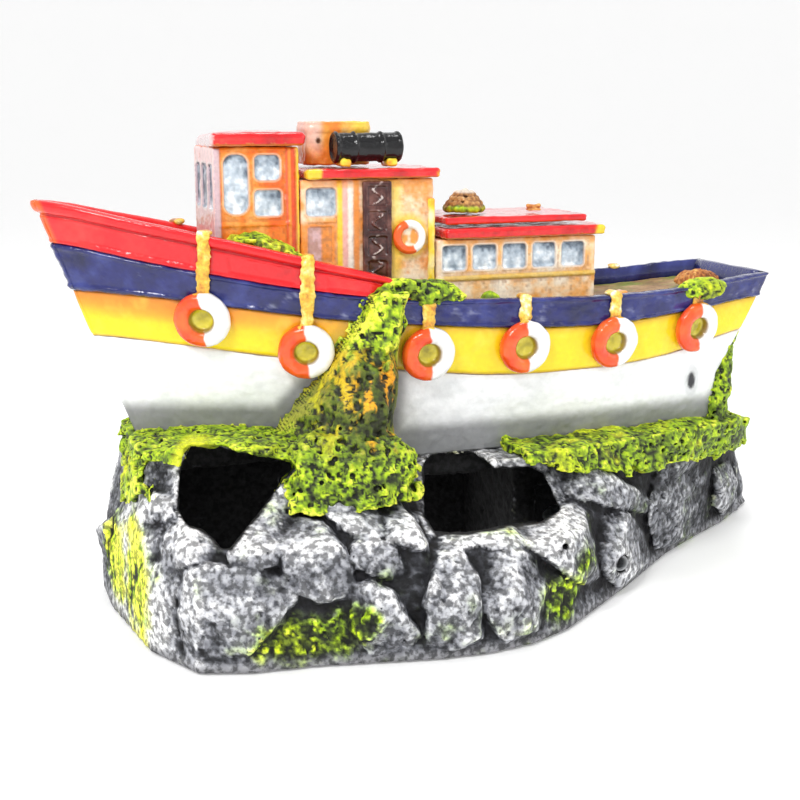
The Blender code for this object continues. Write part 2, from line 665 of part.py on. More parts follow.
# ---- air line inside the rock: nipple, hose, stone, clip ----
turned("air_nipple", [(nipple_bore / 2, 0.0), (nipple_bore / 2, 30.0 * sy),
                      (nipple_outside / 2 - 0.6, 30.0 * sy), (nipple_outside / 2, 28.0 * sy),
                      (nipple_outside / 2, 0.0)],
       facing((nipple_x, nipple_tip_y, nipple_z), (0, 1, 0)), hard_plastic, 14)
hose_y = nipple_tip_y + 30.0 * sy + gap
stone_y = 28.0 * sy
stem_x0 = nipple_x + 12.0
hose_r, hose_bore = 3.0, 1.9
centre = []
bend = 9.0
for k in range(3):
    centre.append((Vector((nipple_x, hose_y + (stone_y - bend - hose_y) * k / 2.0, nipple_z)),
                   Vector((0, 1, 0))))
for k in range(1, 4):
    a = math.pi / 2 * k / 3
    centre.append((Vector((nipple_x + bend * (1 - math.cos(a)), stone_y - bend + bend * math.sin(a),
                           nipple_z)), Vector((math.sin(a), math.cos(a), 0))))
centre.append((Vector((stem_x0 - gap, stone_y, nipple_z)), Vector((1, 0, 0))))
outer, inner = [], []
for p, d in centre:
    u = Vector((0, 0, 1))
    w = d.cross(u).normalized()
    for row, r in ((outer, hose_r), (inner, hose_bore)):
        row.append([p + r * (math.cos(2 * math.pi * k / 10) * u + math.sin(2 * math.pi * k / 10) * w)
                    for k in range(10)])
loft("air_hose", outer + inner[::-1], clear_tube, closed=True, smooth=True)
stone_r = stone_diameter / 2.0
stone_home = (stem_x0, stone_y, nipple_z)
turned("air_stone", [(0.0, 0.0), (1.6, 0.0), (1.6, 4.0), (stone_r - 1.2, 4.3), (stone_r, 5.6),
                     (stone_r, stone_length + 2.6), (stone_r - 1.2, stone_length + 4.0),
                     (0.0, stone_length + 4.0)],
       facing(stone_home, (1, 0, 0)), air_stone_blue, 14, origin=stone_home)
clip_x = stem_x0 + 12.0
clip_top = roof_aft - 9.0 - gap
c_in, c_out = stone_r + 2 * gap, stone_r + 2.8
prof = []
for k in range(15):
    a = math.radians(-50 + 280 * k / 14.0)
    prof.append((math.cos(a) * c_out, math.sin(a) * c_out))
arc_in = []
for k in range(15):
    a = math.radians(230 - 280 * k / 14.0)
    arc_in.append((math.cos(a) * c_in, math.sin(a) * c_in))
head = [(2.5, clip_top - nipple_z), (-2.5, clip_top - nipple_z)]
outline = prof[:6] + [(2.5, c_out + 0.3)] + head + [(-2.5, c_out + 0.3)] + prof[9:] + arc_in
loft("stone_clip", [[(x, stone_y + y, nipple_z + z) for y, z in outline]
                    for x in (clip_x, clip_x + 6.0)], hard_plastic)
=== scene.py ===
"""Bubbling aquarium ornament: a fishing boat aground on a hollow rock, in cast and painted resin."""
import math

import bmesh
import bpy
import numpy as np
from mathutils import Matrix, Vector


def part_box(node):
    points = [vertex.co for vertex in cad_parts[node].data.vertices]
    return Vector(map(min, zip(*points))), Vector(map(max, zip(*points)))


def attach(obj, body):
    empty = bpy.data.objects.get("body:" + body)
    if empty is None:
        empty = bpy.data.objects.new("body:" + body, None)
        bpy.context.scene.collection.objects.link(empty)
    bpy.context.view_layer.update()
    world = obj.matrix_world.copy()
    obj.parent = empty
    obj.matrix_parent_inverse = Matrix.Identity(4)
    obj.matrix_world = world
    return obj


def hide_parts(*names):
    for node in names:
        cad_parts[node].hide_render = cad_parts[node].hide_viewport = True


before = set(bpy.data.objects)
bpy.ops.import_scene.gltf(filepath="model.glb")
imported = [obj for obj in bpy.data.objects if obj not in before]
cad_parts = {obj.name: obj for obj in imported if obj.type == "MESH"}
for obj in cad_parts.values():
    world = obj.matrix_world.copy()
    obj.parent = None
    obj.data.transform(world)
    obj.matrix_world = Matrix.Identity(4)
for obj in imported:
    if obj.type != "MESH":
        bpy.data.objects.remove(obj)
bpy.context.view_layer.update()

import openvdb as vdb
from mathutils import Vector

# ---- Rock ----
# Hollow polyresin casting, open underneath, with two caves in front and an arch behind.
# Rough boulders stand out of its front wall. It is poured in a rubber mould, washed black
# and dry brushed with white.

MM = 0.001


def lot(ix, iy, iz, seed):
    """One repeatable random number from 0 to 1 for each whole-number place."""
    h = (ix.astype(np.uint32) * np.uint32(374761393) + iy.astype(np.uint32) * np.uint32(668265263)
         + iz.astype(np.uint32) * np.uint32(2246822519) + np.uint32(seed * 974711 + 77))
    h = (h ^ (h >> np.uint32(13))) * np.uint32(1274126177)
    h = h ^ (h >> np.uint32(16))
    return (h & np.uint32(0xFFFF)).astype(np.float32) / 65535.0


def lumps(p, size, seed=0, layers=3):
    """Soft unevenness from -1 to 1 whose biggest lumps are about this many mm."""
    total, share, sum_of = 0.0, 1.0, 0.0
    for layer in range(layers):
        q = p / size
        base = np.floor(q)
        w = (q - base).astype(np.float32)
        w = w * w * (3 - 2 * w)
        base = base.astype(np.int32)
        value = 0.0
        for i in (0, 1):
            for j in (0, 1):
                for k in (0, 1):
                    weight = ((w[:, 0] if i else 1 - w[:, 0]) * (w[:, 1] if j else 1 - w[:, 1])
                              * (w[:, 2] if k else 1 - w[:, 2]))
                    value = value + weight * lot(base[:, 0] + i, base[:, 1] + j,
                                                 base[:, 2] + k, seed + layer)
        total = total + share * (2 * value - 1)
        sum_of += share
        share *= 0.6
        size *= 0.47
    return total / sum_of * 1.6


def crumbs(p, size, seed=0):
    """Distance in mm to the nearest and second nearest of grains scattered this far apart."""
    q = p / size
    base = np.floor(q).astype(np.int32)
    near = np.full(len(p), 9.0, np.float32)
    next_ = np.full(len(p), 9.0, np.float32)
    for i in (-1, 0, 1):
        for j in (-1, 0, 1):
            for k in (-1, 0, 1):
                cx, cy, cz = base[:, 0] + i, base[:, 1] + j, base[:, 2] + k
                d = ((cx + lot(cx, cy, cz, seed) - q[:, 0]) ** 2
                     + (cy + lot(cx, cy, cz, seed + 31) - q[:, 1]) ** 2
                     + (cz + lot(cx, cy, cz, seed + 67) - q[:, 2]) ** 2)
                next_ = np.minimum(next_, np.maximum(near, d))
                near = np.minimum(near, d)
    return np.sqrt(near) * size, np.sqrt(next_) * size


def averaged(block, reach):
    """The block with each cell made the mean of the cells this many each way."""
    for axis in range(3):
        edges = [(0, 0)] * 3
        edges[axis] = (reach + 1, reach)
        total = np.cumsum(np.pad(block, edges, mode="edge"), axis=axis, dtype=np.float64)
        upper = np.take(total, range(2 * reach + 1, total.shape[axis]), axis=axis)
        lower = np.take(total, range(0, total.shape[axis] - 2 * reach - 1), axis=axis)
        block = ((upper - lower) / (2 * reach + 1)).astype(np.float32)
    return block


def resin(name, places, faces):
    """A mesh from places in mm and four-cornered faces, shaded smooth."""
    mesh = bpy.data.meshes.new(name)
    mesh.vertices.add(len(places))
    mesh.vertices.foreach_set("co", (places * MM).astype(np.float32).ravel())
    mesh.loops.add(faces.size)
    mesh.loops.foreach_set("vertex_index", faces.astype(np.int32).ravel())
    mesh.polygons.add(len(faces))
    mesh.polygons.foreach_set("loop_start", np.arange(0, faces.size, 4, dtype=np.int32))
    mesh.update(calc_edges=True)
    mesh.validate()
    mesh.polygons.foreach_set("use_smooth", [True] * len(mesh.polygons))
    ob = bpy.data.objects.new(name, mesh)
    bpy.context.scene.collection.objects.link(ob)
    return ob


def cast(name, low, high, cell, form, texture=None, depth=3.0, crown_reach=(1.3, 5.0)):
    """Pours a form. form gives mm outside the surface at each place, and texture adds to it.

    Returns the object and, at each of its points, the place, the outward slope and how far
    it stands proud of the surface near it, close by and further off.
    """
    low, high = np.array(low, float), np.array(high, float)
    counts = np.ceil((high - low) / cell).astype(int) + 1
    axes = [low[k] + cell * np.arange(counts[k]) for k in range(3)]
    p = np.stack(np.meshgrid(*axes, indexing="ij"), -1).reshape(-1, 3).astype(np.float32)
    d = np.asarray(form(p), np.float32)
    if texture is not None:
        near = np.abs(d) < depth
        d[near] += texture(p[near])
    d = d.reshape(counts)
    for axis in range(3):
        for end in (0, -1):
            face = [slice(None)] * 3
            face[axis] = end
            d[tuple(face)] = np.maximum(d[tuple(face)], 0.5 * cell)
    grid = vdb.FloatGrid(5.0)
    grid.copyFromArray(np.clip(d, -4, 4))
    points, threes, quads = grid.convertToPolygons(isovalue=0.0, adaptivity=0.0)
    ob = resin(name, low + points * cell, quads)
    at = tuple(np.clip(np.rint(points).astype(int), 0, counts - 1).T)
    slope = np.stack([g[at] for g in np.gradient(d)], -1)
    slope /= np.maximum(np.linalg.norm(slope, axis=1, keepdims=True), 1e-6)
    crowns = [(averaged(d, max(1, round(r / cell))) - d)[at] for r in crown_reach]
    return ob, (low + points * cell).astype(np.float32), slope, crowns[0], crowns[1]


def tones(t, stops, colours):
    """The colour at t between the colours at the stops."""
    colours = np.array(colours, float)
    return np.stack([np.interp(t, stops, colours[:, k]) for k in range(3)], -1)


def over(under, cover, colour):
    """Paint of this colour brushed over the colours under it where cover is near 1."""
    c = np.clip(cover, 0, 1)[:, None]
    return under * (1 - c) + np.asarray(colour, float) * c


def edge(value, middle, soft):
    """0 well below the middle, 1 well above it."""
    t = np.clip((value - middle) / soft * 0.5 + 0.5, 0, 1)
    return t * t * (3 - 2 * t)


def brush(ob, colours):
    """Puts the painted colours on the piece."""
    layer = ob.data.color_attributes.new("paint", "FLOAT_COLOR", "POINT")
    full = np.ones((len(colours), 4), np.float32)
    full[:, :3] = np.clip(colours, 0, 1)
    layer.data.foreach_set("color", full.ravel())


def noise(nodes, links, size_mm, detail):
    """Noise fixed to the piece, with lumps about this size."""
    where = nodes.new("ShaderNodeTexCoord")
    field = nodes.new("ShaderNodeTexNoise")
    field.inputs["Scale"].default_value = 1.0 / (size_mm * MM)
    field.inputs["Detail"].default_value = detail
    links.new(where.outputs["Object"], field.inputs["Vector"])
    return field


def grained(nodes, links, field, strength, height_mm):
    """Raises the surface where the noise is high."""
    bump = nodes.new("ShaderNodeBump")
    bump.inputs["Strength"].default_value = strength
    bump.inputs["Distance"].default_value = height_mm * MM
    links.new(field.outputs["Fac"], bump.inputs["Height"])
    links.new(bump.outputs["Normal"], nodes["Principled BSDF"].inputs["Normal"])


def painted_resin(name, rough, coat, speck_mm, speck, bump_mm, bump, soft=0.2):
    """Brushed paint with fine specks in it, a fine grain, and clear lacquer if coat is set."""
    m = bpy.data.materials.new(name)
    m.use_nodes = True
    nodes, links = m.node_tree.nodes, m.node_tree.links
    skin = nodes["Principled BSDF"]
    skin.inputs["Roughness"].default_value = rough
    skin.inputs["Coat Weight"].default_value = coat
    skin.inputs["Coat IOR"].default_value = 1.35
    skin.inputs["Specular IOR Level"].default_value = 0.35
    skin.inputs["Coat Roughness"].default_value = 0.08
    paint = nodes.new("ShaderNodeAttribute")
    paint.attribute_name = "paint"
    spread = nodes.new("ShaderNodeMapRange")
    spread.inputs["From Min"].default_value = 0.5 - soft
    spread.inputs["From Max"].default_value = 0.5 + soft
    spread.inputs["To Min"].default_value = 1.0 - speck
    spread.inputs["To Max"].default_value = 1.0 + speck
    mix = nodes.new("ShaderNodeVectorMath")
    mix.operation = "SCALE"
    dots = noise(nodes, links, speck_mm, 4.0)
    links.new(dots.outputs["Fac"], spread.inputs["Value"])
    links.new(paint.outputs["Color"], mix.inputs[0])
    links.new(spread.outputs["Result"], mix.inputs["Scale"])
    links.new(mix.outputs["Vector"], skin.inputs["Base Color"])
    grained(nodes, links, noise(nodes, links, bump_mm, 3.0), bump, 0.3 * bump_mm)
    return m


def fit(ob, material, slot, body, *nodes):
    """Gives the piece its finish, fixes it to its body and lets it stand for its CAD nodes."""
    ob.data.materials.append(material)
    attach(ob, body)
    if nodes:
        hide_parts(*nodes)


carver_eye = (-177.0, -406.0, 165.0)


def seen_square(p, plane_y):
    """Places slid along the sight line of a carver off the port bow to one upright plane."""
    reach = (plane_y - carver_eye[1]) / (p[:, 1] - carver_eye[1])
    return (carver_eye[0] + (p[:, 0] - carver_eye[0]) * reach,
            carver_eye[2] + (p[:, 2] - carver_eye[2]) * reach)


def inside_outline(u, v, corners):
    """Mm outside a closed outline, less than 0 within it."""
    pts = np.array(corners, float)
    best = np.full(len(u), 1e9)
    inside = np.zeros(len(u), bool)
    for (ax, az), (bx, bz) in zip(pts, np.roll(pts, -1, 0)):
        ex, ez = bx - ax, bz - az
        t = np.clip(((u - ax) * ex + (v - az) * ez) / (ex * ex + ez * ez), 0, 1)
        best = np.minimum(best, (u - ax - t * ex) ** 2 + (v - az - t * ez) ** 2)
        cross = ((az > v) != (bz > v)) & (u < (bx - ax) * (v - az) / (bz - az + 1e-9) + ax)
        inside ^= cross
    return np.where(inside, -1, 1) * np.sqrt(best)


rock_end = 145.6
rock_x = (-127, -121, -110, -95, -75, -56, -42, -37, -22, -6, 10, 25, 50, 78, 103, 120, 133,
          rock_end)
rock_front = (18, -24, -46, -51, -53, -57, -60, -61, -62, -60, -53, -42, -23, 0, 16, 26, 36, 46)
rock_back = (38, 47, 52, 55, 58, 60, 61, 62, 62, 62, 62, 61, 61, 61, 61, 60, 59, 57)
rock_brow = (24, -6, -20, -25, -27, -28, -28, -28, -28, -27, -26, -24, -18, -9, 2, 18, 38, 50)
rock_top = (46, 57, 60, 60, 60, 60, 60, 50, 50, 50, 50, 50, 50, 50, 50, 47, 32, 14)


def bare_rock(p, set_back=0.0):
    """The plain rock without its boulders: walls leaning in to the shelf the hull sits on."""
    x, y, z = p[:, 0], p[:, 1], p[:, 2]
    front, back, brow, top = (np.interp(x, rock_x, v)
                              for v in (rock_front, rock_back, rock_brow, rock_top))
    up = np.clip(z / top, 0, 1)
    lean = np.interp(up, (0, 0.08, 0.36, 0.62, 0.74, 0.9, 1), (0, 0, 0.05, 0.25, 0.75, 1, 1.12))
    wall = (front + set_back * edge(up, 0.1, 0.1) + lean * (brow - front) - y) * 0.72
    rear = (y - back + np.interp(up, (0, 0.4, 0.8, 1), (0, 2, 5, 9))) * 0.9
    d = np.maximum(np.maximum(wall, rear), z - top)
    bow_end = np.interp(z, (0, 22, 60), (-127.0, -126.5, -115.5))
    return np.maximum(d, np.maximum((bow_end - x) * 0.93, x - rock_end))


# each boulder: the depth of its face, how far it stands out, and its outline (x, z) from the
# carver's side
boulders = (
    (-47, 5.5, [(-116, 21), (-113, 33), (-107, 35), (-90, 31), (-82, 26), (-80, 20), (-89, 10),
                (-97, 3), (-106, 0), (-113, 7)]),
    (-29, 4.5, [(-125, 19), (-123, 28), (-116, 31), (-111, 27), (-114, 12), (-112, 1),
                (-118, 3), (-124, 9)]),
    (-36, 4.0, [(-117, 41), (-112, 45), (-107, 42), (-104, 37), (-105, 33), (-113, 31),
                (-118, 34)]),
    (-44, 3.5, [(-99, 37), (-94, 43), (-90, 46), (-87, 43), (-84, 36), (-84, 31), (-93, 30),
                (-99, 32)]),
    (-48, 6.0, [(-86, 43), (-83, 48), (-71, 44), (-65, 35), (-62, 26), (-62, 19), (-73, 19),
                (-82, 26), (-85, 35)]),
    (-34, 4.0, [(-87, 46), (-83, 50), (-79, 48), (-74, 42), (-78, 38), (-84, 37), (-87, 42)]),
    (-29, 3.5, [(-82, 52), (-76, 53), (-71, 51), (-72, 46), (-79, 46), (-83, 49)]),
    (-37, 7.0, [(-74, 51), (-65, 53), (-59, 50), (-52, 44), (-49, 39), (-47, 34), (-53, 32),
                (-61, 37), (-70, 44), (-74, 47)]),
    (-48, 5.5, [(-51, 43), (-47, 45), (-40, 43), (-35, 37), (-39, 32), (-47, 33), (-51, 36)]),
    (-51, 3.0, [(-63, 37), (-57, 40), (-49, 34), (-46, 25), (-50, 24), (-58, 27), (-63, 32)]),
    (-56, 5.5, [(-65, 25), (-59, 27), (-52, 23), (-48, 15), (-43, 7), (-49, 2), (-59, 3),
                (-64, 12)]),
    (-58, 6.5, [(-42, 19), (-38, 32), (-37, 38), (-31, 34), (-25, 25), (-23, 17), (-23, 4),
                (-32, 1), (-41, 5)]),
    (-58, 6.5, [(-23, 17), (-22, 30), (-19, 36), (-14, 33), (-5, 28), (-1, 20), (-3, 14),
                (-4, 4), (-15, 1), (-21, 9)]),
    (-47, 4.0, [(-33, 34), (-28, 36), (-21, 36), (-13, 38), (-9, 36), (-5, 31), (-2, 26),
                (-11, 28), (-20, 31), (-26, 30)]),
    (-47, 6.0, [(-4, 34), (7, 39), (13, 41), (17, 37), (21, 27), (23, 15), (19, 13), (11, 18),
                (4, 23), (-2, 28)]),
    (-26, 6.0, [(36, 26), (41, 29), (47, 27), (52, 19), (55, 9), (49, 4), (44, 0), (38, 6),
                (35, 16)]),
    (-24, 4.5, [(22, 48), (28, 48), (39, 42), (51, 35), (55, 30), (54, 27), (44, 29), (30, 34),
                (23, 37)]),
    (9, 5.0, [(76, 11), (77, 27), (83, 35), (93, 37), (102, 32), (103, 17), (99, 5), (85, 0),
              (79, 0)]),
    (30, 4.5, [(118, 22), (124, 24), (129, 16), (128, 8), (123, 2), (119, 7)]),
    (-16, 3.5, [(-121, 45), (-116, 49), (-111, 46), (-112, 41), (-118, 40), (-122, 41)]),
)
# boulders on the sides the carver looks at last: place, reach
back_boulders = [(-118, 38, 20, 14), (-100, 54, 16, 15), (-78, 57, 30, 17), (-52, 61, 14, 14),
                 (12, 61, 12, 16), (34, 60, 26, 18), (60, 61, 14, 17), (84, 60, 30, 16),
                 (104, 58, 12, 14), (128, 54, 8, 12), (-58, 58, 44, 13), (16, 60, 38, 13)]


def with_boulders(p):
    d = bare_rock(p, 2.2)
    draw = np.random.default_rng(11)
    for plane_y, proud, corners in boulders:
        c = np.array(corners, float)
        mid = c.mean(0)
        near = ((np.abs(p[:, 0] - mid[0]) < np.ptp(c[:, 0]) * 0.5 + 26)
                & (np.abs(p[:, 1] - plane_y) < 34) & (np.abs(p[:, 2] - mid[1]) < 40))
        q = p[near]
        u, v = seen_square(q, plane_y)
        out = bare_rock(q)
        body = inside_outline(u, v, corners) - 0.6 + 0.42 * out
        half = 0.5 * np.ptp(c, axis=0)
        turn = draw.uniform(0, 6.28)
        for k in range(5):
            a = turn + k * 1.257 + draw.uniform(-0.4, 0.4)
            fall = draw.uniform(0.35, 1.1) * proud
            tilt = ((u - mid[0]) / half[0] * math.cos(a) + (v - mid[1]) / half[1] * math.sin(a))
            body = np.maximum(body, (out - 0.72 * proud + fall * tilt * 0.9) * 0.9)
        body = np.maximum(body, (-18.0 - out))
        d[near] = np.minimum(d[near], body)
    for x, y, z, reach in back_boulders:
        near = np.abs(p - np.array((x, y, z), np.float32)).max(1) < reach + 6
        q = p[near] - np.array((x, y - reach * 0.62, z), np.float32)
        body = np.full(len(q), -9.0)
        for k in range(11):
            n = draw.normal(size=3)
            n[1] = abs(n[1]) + 0.2 if k < 7 else n[1]
            n /= np.linalg.norm(n)
            body = np.maximum(body, q @ n - reach * draw.uniform(0.62, 0.86))
        d[near] = np.minimum(d[near], np.maximum(body, p[near][:, 1] - 62.0))
    return d


cave_bow = [(-109.4, 69.9), (-100.7, 69.1), (-79.7, 62.9), (-78.6, 60.4), (-82, 57.9),
            (-88.6, 49.3), (-98.9, 37.4), (-101.6, 37.7), (-106.5, 44.5), (-111.4, 46.8),
            (-113.9, 52), (-113.2, 61.6), (-110.7, 68.5)]
cave_mid = [(-39.2, 59.9), (-36.9, 62.2), (-22.7, 61.5), (-17.9, 58.5), (-14.8, 55.6),
            (-3.4, 54.9), (1.2, 52.5), (3.8, 47.6), (8.3, 39.4), (1.7, 36.1), (-9.6, 36.4),
            (-23.7, 35.3), (-35.5, 37), (-38.5, 42.2)]
mouths = ((-44, cave_bow), (-48, cave_mid))
chambers = (((-107, -15, -9), (-44, 45, 49)), ((-60, -17, -9), (13, 47, 41)),
            ((22, 19, -9), (91, 48, 34)), ((23, -13, -9), (45, 24, 33)),
            ((-44, 30, -9), (-4, 80, 30)))
nipple_spot, nipple_bore = (39.5, 12.6), 3.3
vent_mouth, vent_bore, vent_slant = (12.5, -42, 28.6), 1.4, 0.45


def slab_gap(p, low, high):
    """Mm outside a block."""
    low, high = np.array(low, np.float32), np.array(high, np.float32)
    q = np.abs(p - 0.5 * (low + high)) - 0.5 * (high - low)
    return np.minimum(q.max(1), 0) + np.linalg.norm(np.maximum(q, 0), axis=1)


def caves(p):
    """Mm outside the hollows."""
    d = np.full(len(p), 99.0)
    for low, high in chambers:
        d = np.minimum(d, slab_gap(p, low, high))
    for (plane_y, corners), depth in zip(mouths, (6.0, -2.0)):
        near = (p[:, 1] < depth + 3) & (p[:, 0] < 30)
        u, v = seen_square(p[near], plane_y)
        d[near] = np.minimum(d[near], np.maximum(inside_outline(u, v, corners),
                                                 p[near][:, 1] - depth))
    bore = np.hypot(p[:, 0] - nipple_spot[0], p[:, 2] - nipple_spot[1]) - nipple_bore
    vent = np.hypot(p[:, 0] - vent_mouth[0] - vent_slant * (p[:, 1] - vent_mouth[1]),
                    p[:, 2] - vent_mouth[2]) - vent_bore
    d = np.minimum(d, np.maximum(bore, p[:, 1] - 0))
    return np.minimum(d, np.maximum(vent, p[:, 1] + 20))


def clear_of(d, p, mouth, margin):
    """The form d cut back from a cave mouth, so that nothing hangs into it."""
    plane_y, corners = mouth
    u, v = seen_square(p, plane_y)
    return np.maximum(d, np.where(p[:, 1] < 8, margin - inside_outline(u, v, corners), -9))


def rock_form(p):
    d = with_boulders(p)
    return np.maximum(np.maximum(d, -caves(p)), -p[:, 2])


moss_patches = ((-77, -52, 9, 20, 8), (-64, -54, 14, 12, 7), (8, -52, 12, 12, 9),
                (16, -40, 20, 8, 7), (-123, -13, 20, 7, 19), (-127, 10, 22, 9, 15))


def moss_cover(p):
    """How thickly the rock is mossed, 0 to 1."""
    cover = np.zeros(len(p))
    for x, y, z, wide, tall in moss_patches:
        r = np.sqrt(((p[:, 0] - x) / wide) ** 2 + ((p[:, 2] - z) / tall) ** 2
                    + ((p[:, 1] - y) / 16) ** 2)
        cover = np.maximum(cover, 1.35 - r)
    return edge(cover + 0.45 * lumps(p, 9, 21, 3), 0.45, 0.35)


def rock_texture(p):
    pit, _ = crumbs(p, 3.6, 5)
    near, next_ = crumbs(p, 9.0, 13)
    chip = np.clip(1.4 - (next_ - near), 0, 1.4)
    rough = 0.55 * lumps(p, 13, 1, 4) + 0.42 * lumps(p, 3.4, 7, 2)
    base = edge(p[:, 2], 4.0, 2.0)
    weed = moss_cover(p)
    relief = (rough * (0.35 + 0.65 * base) + 0.85 * np.clip(1.15 - pit, 0, 1) * base
              + 0.25 * chip * base - weed * (0.7 + 0.9 * lumps(p, 3.0, 9, 2)))
    return relief * edge(p[:, 2], 1.0, 0.8)


def mossed(p, near, far, lime=0.0):
    """Moss paint: near-black pits, green sides, lime and yellow on the crests."""
    wander = lumps(p, 14, 41, 3)
    t = (0.31 + 0.80 * near + 0.09 * far + 0.16 * lumps(p, 4.0, 43, 2)
         + 0.22 * lumps(p, 1.9, 45, 2) + lime + 0.14 * wander)
    green = tones(t, (0.0, 0.22, 0.42, 0.62, 0.85, 1.1),
                  ((0.008, 0.010, 0.005), (0.035, 0.05, 0.010), (0.13, 0.21, 0.012),
                   (0.29, 0.46, 0.010), (0.50, 0.66, 0.015), (0.80, 0.82, 0.08)))
    gold = edge(lumps(p, 17, 47, 2), 0.55, 0.4) * edge(t, 0.5, 0.4)
    return over(green, 0.38 * gold, (0.86, 0.78, 0.02))


rock, p, slope, near, far = cast("rock_casting", (-132, -70, -1), (150, 66, 66), 0.95,
                                 rock_form, rock_texture, 4.0, (1.0, 4.5))
proud = bare_rock(p)
# Lightness of the black wash and white dry brush, with painted light on upward and fore-facing
# sides, and darker towards the stern end.
light = (0.44 + 0.46 * near + 0.34 * far + 0.10 * lumps(p, 6.0, 61, 4)
         + 0.12 * lumps(p, 2.4, 67, 2) + 0.10 * slope[:, 2] - 0.04 * slope[:, 0]
         + 0.16 * edge(proud, 2.5, 2.0) - 0.42 * edge(-proud, 0.6, 1.4) * edge(-p[:, 1], -40, 10)
         - 0.12 * edge(p[:, 0], 30, 60))
grey = tones(light, (-0.15, 0.12, 0.32, 0.55, 0.82, 1.1),
             ((0.006, 0.006, 0.008), (0.025, 0.026, 0.031), (0.085, 0.088, 0.10),
              (0.21, 0.215, 0.235), (0.39, 0.395, 0.415), (0.62, 0.62, 0.63)))
grey = over(grey, 1 - edge(p[:, 2], 2.6, 1.6), (0.17, 0.17, 0.18))
grey = over(grey, edge(far, -1.4, -0.8) * 0.5 * edge(-far, 1.0, 1.0), (0.01, 0.01, 0.012))
within = edge(-caves(p + 1.6 * slope), 0.5, 0.5)
grey = over(grey, within, (0.012, 0.012, 0.013))
moss = moss_cover(p) * (1 - within)
brush(rock, over(grey, moss, mossed(p, near * 1.3, far, -0.10)))
stone_finish = painted_resin("dry_brushed_stone", 0.75, 0.0, 1.9, 0.58, 1.5, 1.0, 0.085)
fit(rock, stone_finish, "rock_grey", "ornament", "rock_bow", "rock_middle", "rock_stern")

# ---- Hull ----
# The hull is cast on its own and glued to the shelf. Below the deck it is white, with a
# yellow band over it, then a navy rubbing strake and, forward, a red bulwark. Each colour is
# brushed on, airbrushed and lacquered, with painted shade round the weed and at the foot.

middle_y = 16.0
hull_length, stem_top_x = 255.0, -144.0
shelf_height, rock_step, step_station = 60.3, 10.0, 0.385
keel_height = shelf_height - rock_step
stem_rake, stern_rake, stern_top_x, transom_foot = 0.36, 0.46, 111.0, 70.0
half_width, run_in_end, stern_pinch = 34.0, 0.42, 0.34
red_end = 0.42
sheer_stations = (0.0, 0.1, 0.2, 0.3, 0.42, 0.55, 0.7, 0.85, 1.0)
rail = (137.4, 131.4, 125.0, 118.2, 110.5, 105.0, 103.2, 104.0, 107.0)
red_foot = (124.0, 118.3, 113.0, 108.6, 105.2, 104.0, 103.2, 104.0, 107.0)
navy_foot = (109.0, 107.0, 103.5, 100.0, 97.0, 94.5, 93.2, 95.2, 98.5)
white_head = (94.0, 91.5, 88.3, 85.0, 81.3, 78.0, 77.6, 79.5, 86.0)
deck_sheer = (120.0, 117.0, 112.5, 108.0, 103.0, 98.5, 96.5, 98.0, 101.0)


def faired(ys, x):
    """A smooth curve through the heights at the stations."""
    xs, ys = np.array(sheer_stations), np.array(ys, float)
    x = np.clip(np.asarray(x, float), 0, 1)
    i = np.clip(np.searchsorted(xs, x, side="right") - 1, 0, len(xs) - 2)
    t = (x - xs[i]) / (xs[i + 1] - xs[i])
    a, b, c, e = ys[np.maximum(i - 1, 0)], ys[i], ys[i + 1], ys[np.minimum(i + 2, len(xs) - 1)]
    return 0.5 * (2 * b + (c - a) * t + (2 * a - 5 * b + 4 * c - e) * t * t
                  + (3 * b - a - 3 * c + e) * t ** 3)


def stem_at(z):
    return stem_top_x + stem_rake * (rail[0] - z)


def stern_at(z):
    return stern_top_x - stern_rake * (rail[-1] - np.maximum(z, transom_foot))


def half_beam(s, z):
    """Mm from the middle to the side: fuller higher up, drawn in to the stem and the stern."""
    v = np.clip((z - keel_height) / (faired(rail, s) - keel_height), 0, 1)
    b = half_width * (0.66 + 0.34 * np.sin(np.pi / 2 * v))
    run_in = np.sin(np.pi / 2 * np.clip(s / run_in_end, 0, 1)) ** (0.72 + 0.4 * (1 - v))
    run_out = 1 - stern_pinch * (np.clip((s - 0.62) / 0.38, 0, 1)) ** 2
    return np.maximum(0.8, b * run_in * run_out)


def station(x, z):
    """The share of the way from the stem to the stern at this height."""
    return (x - stem_at(z)) / (stern_at(z) - stem_at(z))


def hull_gap(p):
    """Roughly how many mm a place is outside the hull's side."""
    s = np.clip(station(p[:, 0], p[:, 2]), 0, 1)
    side = np.abs(p[:, 1] - middle_y) - half_beam(s, p[:, 2])
    return np.maximum(side, np.maximum(stem_at(p[:, 2]) - p[:, 0], p[:, 0] - stern_at(p[:, 2])))


def round_the_hull(s_end, closed, steps):
    """Stations down the port side from aft, round the stem and back up to starboard.

    Each is the station, the side (-1 port to 1 starboard) and a turn for the outward way.
    """
    run = [(s_end * (k / steps) ** 1.15, -1.0, None) for k in range(steps, 0, -1)]
    nose = [(0.0, side, side) for side in (-1.0, -0.6, -0.2, 0.2, 0.6, 1.0)]
    back = [(s, 1.0, None) for s, _, _ in run[::-1]]
    line = run + nose + back
    if closed:
        line += [(1.0, side, 2.0 + side) for side in (0.94, 0.7, 0.35, 0.0, -0.35, -0.7, -0.94)]
    return line


def turn_out(ob, close_ends=False):
    """Faces all turned outwards, with the open ends filled if asked."""
    shell = bmesh.new()
    shell.from_mesh(ob.data)
    if close_ends:
        bmesh.ops.holes_fill(shell, edges=[e for e in shell.edges if e.is_boundary])
    bmesh.ops.recalc_face_normals(shell, faces=shell.faces)
    shell.to_mesh(ob.data)
    shell.free()


